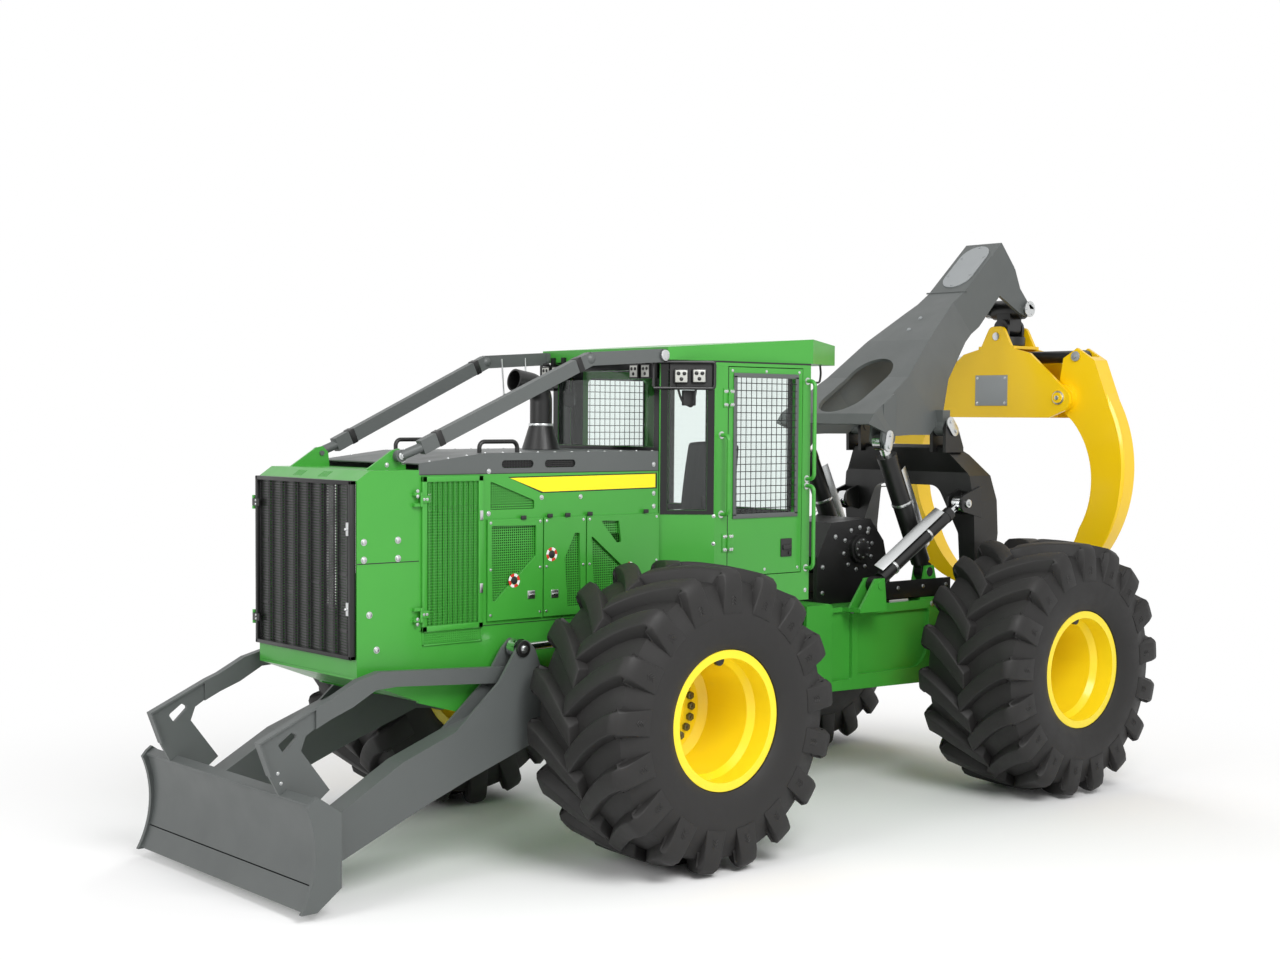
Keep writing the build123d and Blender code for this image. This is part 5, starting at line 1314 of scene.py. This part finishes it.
@dataclass
class RearTrim:
    """Bolted covers, plates and rope on the rear frame, winch, arch and boom."""

    wheelbase: float = 3.740
    top: float = 1.43

    def winch(self) -> None:
        """Bearing covers with their bolts, and the wound rope."""
        w = self.wheelbase
        zinc, cover, rope = Shape(), Shape(), Shape()
        y, z = w - 0.94, 1.85
        cover.rod((0.318, y, z), (0.333, y, z), 0.085, 36, bevel=0.004)
        for k in range(8):
            angle = math.tau * k / 8
            zinc.bolt((0.332, y + 0.068 * math.cos(angle), z + 0.068 * math.sin(angle)), (1, 0, 0), 0.009, False)
        for k in range(10):
            angle = math.tau * k / 10 + 0.2
            zinc.bolt((0.2800, y + 0.165 * math.cos(angle), z + 0.165 * math.sin(angle)), (1, 0, 0), 0.012)
        for spot in ((w - 1.34, 1.52), (w - 1.34, 1.72), (w - 0.62, 1.50), (w - 1.2, 1.95), (w - 0.82, 2.0)):
            zinc.bolt((0.2800, *spot), (1, 0, 0), 0.013)
        for made in (zinc, cover):
            made.mirror()
        for k in range(13):
            x = -0.18 + 0.03 * k
            ring = [(0.0145 * math.cos(t), 0.125 + 0.0145 * math.sin(t)) for t in [math.tau * i / 8 for i in range(8)]]
            verts = rope.spin(ring + ring[:1], (x, y, 1.76), 40)
            bmesh.ops.remove_doubles(rope.bm, verts=verts, dist=1e-5)
        bmesh.ops.recalc_face_normals(rope.bm, faces=rope.bm.faces[:])
        zinc.piece("winch_bolts", ZINC, "rear_chassis", "hard_chrome")
        cover.piece("winch_covers", BLACK, "rear_chassis", "black_paint")
        rope.piece("winch_rope", ROPE, "rear_chassis", "hard_chrome", 60)

    def frame(self) -> None:
        """Hose tray with its bolts, and bolts on the rear frame and the arch."""
        w = self.wheelbase
        zinc, black = Shape(), Shape()
        inward = (-1, 0, 0)
        black.box((0.36, w - 1.08, self.top + 0.02), (0.49, w - 0.06, self.top + 0.032), 0.003)
        black.box((0.478, w - 1.08, self.top + 0.02), (0.49, w - 0.06, self.top + 0.165), 0.003)
        for y in (w - 1.02, w - 0.7, w - 0.4, w - 0.12):
            zinc.bolt((0.49, y, self.top + 0.11), (1, 0, 0), 0.012)
        spots = [(1.0, y, z) for y, z in ((w + 0.29, 1.395), (w + 0.50, 1.395), (w - 0.30, 1.395), (2.5, 1.395))]
        fastened(zinc, "rear_frame", spots, inward, 0.016, True)
        fastened(zinc, "arch", [(1.2, w + 0.23 + 0.07 * math.cos(t), 1.29 + 0.07 * math.sin(t))
                                for t in [math.tau * k / 6 for k in range(6)]], inward, 0.010, True)
        for made, name, finish, slot in ((zinc, "rear_frame_bolts", ZINC, "hard_chrome"),
                                         (black, "hose_tray", BLACK, "black_paint")):
            made.mirror()
            made.piece(name, finish, "rear_chassis", slot)

    def arch(self) -> None:
        """Oval pin covers at the boom pivots, plates and bolts on the arch."""
        w = self.wheelbase
        zinc = Shape()
        z = 2.808
        oval = stadium((w - 0.13, z), 0.088, 0.045, math.radians(-50))
        zinc.prism(oval, "x", 0.536, 0.550, 0.002)
        for s in (-1, 1):
            zinc.bolt((0.550, w - 0.13 + s * 0.032, z - s * 0.038), (1, 0, 0), 0.013, False)
        zinc.rod((0.697, w - 0.115, 2.197), (0.712, w - 0.115, 2.197), 0.034, 24, bevel=0.003)
        zinc.bolt((0.712, w - 0.115, 2.197), (1, 0, 0), 0.016, False)
        spots = [(1.2, w + y, z) for y, z in ((0.13, 1.75), (0.19, 1.75), (0.13, 1.62), (0.19, 1.62), (0.16, 1.50))]
        fastened(zinc, "arch", spots, (-1, 0, 0), 0.010)
        zinc.mirror()
        zinc.piece("arch_covers", ZINC, "arch", "hard_chrome")

    def boom(self) -> None:
        """Oval cover plate, pin covers, weld line and marks on the boom."""
        w = self.wheelbase
        zinc, plate, weld = Shape(), Shape(), Shape()
        oval = stadium((w - 0.84, 2.692), 0.085, 0.042, math.radians(80))
        zinc.prism(oval, "x", 0.4925, 0.503, 0.002)
        for s in (-1, 1):
            zinc.bolt((0.503, w - 0.84 + s * 0.008, 2.692 + s * 0.046), (1, 0, 0), 0.013, False)
        disc_x(zinc, (0.215, w + 1.28, 3.82), 0.070, 0.008)
        for k in range(6):
            angle = math.tau * k / 6
            zinc.bolt((0.223, w + 1.28 + 0.048 * math.cos(angle), 3.82 + 0.048 * math.sin(angle)), (1, 0, 0), 0.008,
                      False)
        way = Vector((0, math.cos(math.radians(42)), math.sin(math.radians(42))))
        out = Vector((0, -way.z, way.y))
        middle = Vector((0, w + 0.682, 4.155))
        at = SKINS.hit("boom", middle + out * 0.5, -out)
        turn = Matrix((Vector((1, 0, 0)), way, out)).transposed().to_4x4()
        verts = plate.prism(stadium((0, 0), 0.275, 0.145, math.radians(90)), "z", -0.002, 0.008)
        plate.place(verts, at, turn)
        plate.bevel(verts, 0.0015, 1)
        for x, y in ((-0.118, -0.12), (0.118, -0.12), (-0.118, 0.12), (0.118, 0.12), (0, -0.25), (0, 0.25)):
            zinc_at = at + Vector((x, 0, 0)) + way * y + out * 0.008
            plate.dome(zinc_at, out, 0.009)
        start = SKINS.hit("boom", Vector((0, 4.166, 3.934)) + out * 0.5, -out)
        weld.tube([start + Vector((-0.215, 0, 0)), start, start + Vector((0.215, 0, 0))], 0.007, 8, 0.02, 2)
        for y, z in ((3.837, 3.70), (3.693, 3.60)):
            spot = SKINS.hit("boom", Vector((0, y, z)) + out * 0.5, -out)
            plate.dome(spot, out, 0.014)
        zinc.mirror()
        zinc.piece("boom_pin_covers", ZINC, "boom", "hard_chrome")
        plate.piece("boom_cover_plate", PALE, "boom", "grey_paint")
        weld.piece("boom_weld", GREY, "boom", "grey_paint")

    def grapple(self) -> None:
        """Blank plate with its screws, pivot bolts and oval covers on the grapple."""
        g = self.wheelbase + 1.28
        plate, zinc, tongs = Shape(), Shape(), {side: Shape() for side in Side}
        for sign in (-1, 1):
            y = g + sign * 0.175
            low, high = sorted((y, y + sign * 0.006))
            plate.box((-0.215, low, 2.987), (0.13, high, 3.25), 0.002)
            for x, z in ((-0.19, 3.01), (0.105, 3.01), (-0.19, 3.225), (0.105, 3.225)):
                zinc.dome((x, y + sign * 0.006, z), (0, sign, 0), 0.009)
            for x in (-0.66, 0.66):
                zinc.rod((x, y, 3.053), (x, y + sign * 0.012, 3.053), 0.058, 28, bevel=0.003)
                zinc.bolt((x, y + sign * 0.012, 3.053), (0, sign, 0), 0.022)
            zinc.rod((0, y, 3.585), (0, y + sign * 0.010, 3.585), 0.035, 24, bevel=0.003)
            for side, shape in tongs.items():
                shape.rod((side.value * 0.77, g + sign * 0.0985, 3.40), (side.value * 0.77, g + sign * 0.108, 3.40),
                          0.042, 24,
                          bevel=0.003)
                shape.bolt((side.value * 0.77, g + sign * 0.108, 3.40), (0, sign, 0), 0.016, False)
        plate.piece("grapple_blank_plate", PALE, "grapple_head", "grey_paint")
        zinc.piece("grapple_bolts", ZINC, "grapple_head", "hard_chrome")
        for side, shape in tongs.items():
            shape.piece(f"{side.word}_tong_pin_caps", PALE, f"{side.word}_tong", "hard_chrome")

    def build(self) -> None:
        """Make every rear fitting."""
        self.winch()
        self.frame()
        self.arch()
        self.boom()
        self.grapple()
        LOG.info("rear fittings")


# ---- wheels -------------------------------------------------------------------------------------
@dataclass
class Tyre:
    """Forestry tyre: carcass with long curved lugs that run down its shoulders."""

    centre: Vector
    side: Side
    name: str
    body: str
    radius: float = 0.972
    half: float = 0.45
    lugs: int = 17
    lead: float = math.radians(19)
    bead: tuple[float, float] = (0.378, 0.447)
    tread: float = 0.425
    knee: float = 0.72
    cols: int = 16

    def floor_radius(self, x: float) -> float:
        """Radius of the carcass between the lugs at a distance x from the middle plane."""
        return 0.897 - 0.42 * max(0.0, abs(x) - 0.12) ** 2 - 9.0 * max(0.0, abs(x) - 0.36) ** 2.2

    def crown_radius(self, x: float) -> float:
        """Radius of the lugs' tops at a distance x from the middle plane."""
        return self.radius - 0.10 * x * x

    def carcass(self, shape: Shape) -> None:
        """Turn the carcass, from bead to bead.

        Args:
            shape: mesh that gets it.
        """
        half = [(self.bead[0], self.bead[1]), (0.402, 0.452), (0.418, 0.475), (0.440, 0.530), (0.450, 0.600),
                (0.450, 0.660), (0.440, 0.715), (0.418, 0.770)]
        half += [(x, self.floor_radius(x)) for x in (0.385, 0.34, 0.28, 0.20, 0.12, 0.0)]
        outline = half + [(-x, r) for x, r in reversed(half[:-1])]
        inner = [(-self.bead[0], self.bead[1]), (-0.30, self.bead[1] - 0.002), (0.30, self.bead[1] - 0.002), self.bead]
        verts = shape.spin(outline + inner, self.centre, 120)
        bmesh.ops.remove_doubles(shape.bm, verts=verts, dist=1e-5)
        bmesh.ops.recalc_face_normals(shape.bm, faces=shape.bm.faces[:])

    def lug(self, shape: Shape, start: float, flip: int) -> None:
        """Add one lug.

        Args:
            shape: mesh that gets it.
            start: angle of its end on the sidewall.
            flip: 1 for the outer half of the tread, -1 for the inner one.
        """
        grid = bmesh.ops.create_grid(shape.bm, x_segments=self.cols, y_segments=2, size=0.5)["verts"]
        top = {v: (v.co.x + 0.5, v.co.y * 2) for v in grid}
        faces = list({f for v in grid for f in v.link_faces})
        out = bmesh.ops.extrude_face_region(shape.bm, geom=faces, use_keep_orig=True)["geom"]
        low = {v: (v.co.x + 0.5, v.co.y * 2) for v in out if isinstance(v, bmesh.types.BMVert)}
        for level, verts in ((1, top), (0, low)):
            for v, (s, across) in verts.items():
                v.co = self.lug_point(s, across, level, start, flip)
        both = list(top) + list(low)
        new = list({f: None for v in both for f in v.link_faces})
        bmesh.ops.recalc_face_normals(shape.bm, faces=new)
        rim = [e for e in among(both) if len(e.link_faces) == 2 and e.calc_face_angle(0) > math.radians(40)
               and (e.verts[0] in top or e.verts[1] in top)]
        bmesh.ops.bevel(shape.bm, geom=rim, offset=0.010, segments=2, profile=0.5, affect="EDGES", material=-1)

    def lug_point(self, s: float, across: float, level: int, start: float, flip: int) -> Vector:
        """Place one corner of a lug.

        Args:
            s: 0 at the nose, 1 at the sidewall end.
            across: -1 or 1 on the flanks, 0 in the middle.
            level: 1 on the crown, 0 at the foot.
            start: angle of the sidewall end.
            flip: which half of the tread.

        Returns:
            The corner's place.
        """
        tread, knee = self.tread, self.knee
        if s <= knee:
            x = -0.035 + (tread + 0.035) * (s / knee)
            crown, foot = self.crown_radius(x), self.floor_radius(x) - 0.03
            width, flare = 0.066, 0.030
        else:
            t = (s - knee) / (1 - knee)
            x = tread + (0.027 * min(1.0, 4 * t) if level else -0.07 * min(1.0, 3 * t) * (1 - 0.2 * t))
            crown = foot = self.crown_radius(tread) - t * 0.275
            width, flare = 0.066 + 0.018 * t, 0.030 * (1 - t)
        radius = crown if level else foot
        ahead = self.lead * max(0.0, 1 - max(0.0, x + 0.035) / (tread + 0.035)) ** 1.45
        angle = start + ahead + across * (width + (flare if not level else 0.0)) / radius
        place = Vector((flip * x * self.side.value, -math.sin(angle) * radius, math.cos(angle) * radius))
        return self.centre + place

    def marks(self, shape: Shape, start: float) -> None:
        """Add the three small chevrons on a lug's outer end.

        Args:
            shape: mesh that gets them.
            start: angle of the lug's end on the sidewall.
        """
        for k in range(3):
            radius = 0.735 + 0.02 * k
            for lean in (1, -1):
                a, b = start, start + lean * 0.026
                ends = [Vector(((self.half + 0.0025) * self.side.value, -math.sin(t) * r,
                                math.cos(t) * r)) + self.centre
                        for t, r in ((a, radius + 0.016), (b, radius))]
                shape.rod(ends[0], ends[1], 0.0035, 4)

    def build(self) -> None:
        """Make the tyre and hide its plain CAD solid."""
        shape = Shape()
        self.carcass(shape)
        step = math.tau / self.lugs
        for k in range(self.lugs):
            self.lug(shape, k * step, 1)
            self.lug(shape, (k + 0.5) * step, -1)
            self.marks(shape, k * step)
        made = shape.piece(self.name, RUBBER, self.body, "tyre_rubber", 40)
        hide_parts(self.name.replace("_tread", ""))


@dataclass
class Wheels:
    """Four tyres and the fittings of their rims."""

    stud_circle: float = 0.228
    studs: int = 20

    def build(self) -> None:
        """Make each wheel's pieces."""
        for end in ("front", "rear"):
            for side in Side:
                body = f"{end}_{side.word}_wheel"
                low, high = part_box(f"{end}_{side.word}_tyre")
                centre = (low + high) / 2 - Vector((0, SITE.axle_y, 0))
                Tyre(centre, side, f"{end}_{side.word}_tyre_tread", body).build()
                self.nuts(centre, side, f"{end}_{side.word}", body)
        LOG.info("wheels")

    def nuts(self, centre: Vector, side: Side, stem: str, body: str) -> None:
        """Make the ring of wheel nuts on the disc and the valve guard on the rim.

        Args:
            centre: the wheel's centre.
            side: side of the machine.
            stem: first part of the pieces' names.
            body: body that carries them.
        """
        shape = Shape()
        face = centre.x + side.value * -0.19
        for k in range(self.studs):
            angle = math.tau * k / self.studs
            at = (face, centre.y + self.stud_circle * math.cos(angle), centre.z + self.stud_circle * math.sin(angle))
            shape.rod(at, (at[0] + side.value * 0.026, at[1], at[2]), 0.027, 6, bevel=0.002)
            shape.rod(at, (at[0] + side.value * 0.034, at[1], at[2]), 0.010, 10)
        shape.piece(f"{stem}_wheel_nuts", STEEL, body, "hard_chrome")
        guard = Shape()
        low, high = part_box(f"{stem}_rim")
        rim_face = high.x if side is Side.LEFT else low.x
        start = Vector((rim_face - side.value * 0.07, centre.y + 0.01, centre.z + 0.372))
        guard.rod(start, start - Vector((side.value * 0.03, 0, 0)), 0.036, 24, bevel=0.003)
        guard.piece(f"{stem}_valve_guard", BLACK, body, "black_paint")


# ---- CAD nodes ----------------------------------------------------------------------------------
NODE_FINISH = {
    GREEN: ["front_frame", "cowl", "hood_sides", "service_panels", "cab_shell", "cab_roof", "left_cab_door",
            "right_cab_door", "steps_and_rails", "rear_frame", "front_axle", "rear_axle", "left_side_screen",
            "right_side_screen"],
    GREY: ["hood_top", "limb_risers", "boom", "blade", "blade_arms"],
    YELLOW: ["grapple_head", "left_tong", "right_tong"],
    RIM_YELLOW: ["front_left_rim", "front_right_rim", "rear_left_rim", "rear_right_rim"],
    BLACK: ["engine", "winch", "arch", "front_screen", "air_intake", "work_lights", "cab_console", "blade_barrels",
            "arch_barrels", "boom_barrels", "left_steering_barrel", "right_steering_barrel", "grapple_barrel",
            "crosshead", "rotator", "cab_mounts", "hood_rails"],
    CHROME: ["blade_rods", "arch_rods", "boom_rods", "boom_pistons", "left_steering_rod", "right_steering_rod",
             "grapple_rod", "boom_pins", "link_pin"],
    VINYL: ["cab_seat"],
    PANE: ["cab_glass", "left_door_glass", "right_door_glass"],
}


def dress_nodes() -> None:
    """Give each CAD node its finish."""
    for finish, names in NODE_FINISH.items():
        for name in names:
            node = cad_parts[name]
            for slot in node.material_slots:
                slot.material = PAINTS.of(finish)
    LOG.info("CAD nodes")


# ---- studio -------------------------------------------------------------------------------------
@dataclass
class Studio:
    """Pale floor, soft light and the camera."""

    eye: tuple[float, float, float] = (9.862, -7.799, 2.862)
    yaw: float = math.radians(48.994)
    pitch: float = math.radians(2.766)
    roll: float = math.radians(0.421)
    lens: float = 51.0
    rise: float = 25.06 / 1280

    def camera(self) -> None:
        """Place the camera."""
        forward = Vector((-math.sin(self.yaw) * math.cos(self.pitch), math.cos(self.yaw) * math.cos(self.pitch),
                          -math.sin(self.pitch)))
        right = forward.cross(Vector((0, 0, 1))).normalized()
        up = right.cross(forward)
        lean = Matrix.Rotation(-self.roll, 3, forward)
        right, up = lean @ right, lean @ up
        turn = Matrix((right, up, -forward)).transposed().to_4x4()
        made = bpy.data.cameras.new("camera")
        made.lens, made.sensor_width, made.sensor_fit = self.lens, 36.0, "HORIZONTAL"
        made.shift_y = self.rise
        made.clip_end = 200
        holder = bpy.data.objects.new("camera", made)
        holder.matrix_world = Matrix.Translation(Vector(self.eye) + Vector((0, SITE.axle_y, 0))) @ turn
        bpy.context.scene.collection.objects.link(holder)
        bpy.context.scene.camera = holder

    @staticmethod
    def seen(tree: bpy.types.NodeTree) -> bpy.types.Node:
        """Add nodes that are 1 for what the camera, a mirror or a pane shows, and 0 for light."""
        path = add_node(tree, "ShaderNodeLightPath")
        direct = add_node(tree, "ShaderNodeMath", {0: path.outputs["Is Camera Ray"], 1: path.outputs["Is Glossy Ray"]},
                          operation="MAXIMUM")
        return add_node(tree, "ShaderNodeMath", {0: direct.outputs[0], 1: path.outputs["Is Transmission Ray"]},
                        operation="MAXIMUM")

    def floor(self) -> None:
        """Lay the pale floor."""
        shape = bmesh.new()
        bmesh.ops.create_grid(shape, x_segments=1, y_segments=1, size=60)
        mesh = bpy.data.meshes.new("floor")
        shape.to_mesh(mesh)
        shape.free()
        made = bpy.data.objects.new("floor", mesh)
        bpy.context.scene.collection.objects.link(made)
        paint, tree, shader = blank_material("white_paper_backdrop")
        shader.inputs["Base Color"].default_value = linear("FFFFFF")
        shader.inputs["Roughness"].default_value = 0.8
        shader.inputs["Specular IOR Level"].default_value = 0.2
        place = add_node(tree, "ShaderNodeTexCoord").outputs["Object"]
        away = add_node(tree, "ShaderNodeVectorMath", {0: place}, operation="LENGTH")
        fade = add_node(tree, "ShaderNodeMapRange", {0: away.outputs["Value"], 1: 2.5, 2: 7.0},
                        interpolation_type="SMOOTHSTEP")
        seen = self.seen(tree)
        share = add_node(tree, "ShaderNodeMath", {0: fade.outputs[0], 1: seen.outputs[0]}, operation="MULTIPLY")
        white = add_node(tree, "ShaderNodeEmission", {"Color": (1, 1, 1, 1), "Strength": 1.0})
        mixed = add_node(tree, "ShaderNodeMixShader", {0: share.outputs[0], 1: shader.outputs[0], 2: white.outputs[0]})
        out = [n for n in tree.nodes if n.type == "OUTPUT_MATERIAL"][0]
        tree.links.new(mixed.outputs[0], out.inputs["Surface"])
        mesh.materials.append(paint)

    def lights(self) -> None:
        """Set a bright world and three large soft lamps."""
        world = bpy.data.worlds.new("studio")
        world.use_nodes = True
        tree = world.node_tree
        tree.nodes.clear()
        seen = self.seen(tree)
        dim = add_node(tree, "ShaderNodeBackground", {"Color": (1, 1, 1, 1), "Strength": 0.52})
        white = add_node(tree, "ShaderNodeBackground", {"Color": (1, 1, 1, 1), "Strength": 1.0})
        mixed = add_node(tree, "ShaderNodeMixShader", {0: seen.outputs[0], 1: dim.outputs[0], 2: white.outputs[0]})
        add_node(tree, "ShaderNodeOutputWorld", {"Surface": mixed.outputs[0]})
        bpy.context.scene.world = world
        for name, at, aim, size, power in (("key", (9.0, -2.0, 8.5), (0, 1.0, 1.2), 6.0, 850),
                                           ("front", (2.0, -11.0, 6.0), (0, 0, 1.0), 6.0, 400),
                                           ("back", (-7.0, 8.0, 8.0), (0, 2.0, 1.5), 6.0, 500)):
            lamp = bpy.data.lights.new(name, "AREA")
            lamp.shape, lamp.size, lamp.energy = "DISK", size, power
            holder = bpy.data.objects.new(name, lamp)
            place = Vector(at) + Vector((0, SITE.axle_y, 0))
            way = Vector(aim) + Vector((0, SITE.axle_y, 0)) - place
            holder.matrix_world = Matrix.Translation(place) @ way.to_track_quat("-Z", "Y").to_matrix().to_4x4()
            holder.visible_glossy = name != "back"
            bpy.context.scene.collection.objects.link(holder)

    def build(self) -> None:
        """Make the whole studio."""
        self.camera()
        self.floor()
        self.lights()
        bpy.context.scene.view_settings.view_transform = "Standard"
        LOG.info("studio")


CYLINDER_TRIMS = (
    CylinderTrim("arch_barrels", (0.618, 2.62, 1.60), (0.618, 3.625, 2.197), (0.24, 0.70), (0.10, 0.93)),
    CylinderTrim("boom_barrels", (0.425, 3.42, 1.65), (0.425, 2.90, 2.692), (0.30, 0.62), (0.16, 0.86),
                 tilt=math.radians(75)),
    CylinderTrim("blade_barrels", (0.7275, 0.15, 1.42), (0.7275, -0.877, 1.398), (0.20, 0.50), None),
)


def main() -> None:
    """Build the looks piece by piece."""
    logging.basicConfig(level=logging.INFO, format="%(message)s")
    dress_nodes()
    Wheels().build()
    FrontScreen().build()
    for side in Side:
        SideScreen(side).build()
    Hood().build()
    Risers().build()
    CabOutside().build()
    CabInside().build()
    BladeTrim().build()
    for trim in CYLINDER_TRIMS:
        trim.build()
    RearTrim().build()
    Studio().build()


if __name__ == "__main__":
    main()
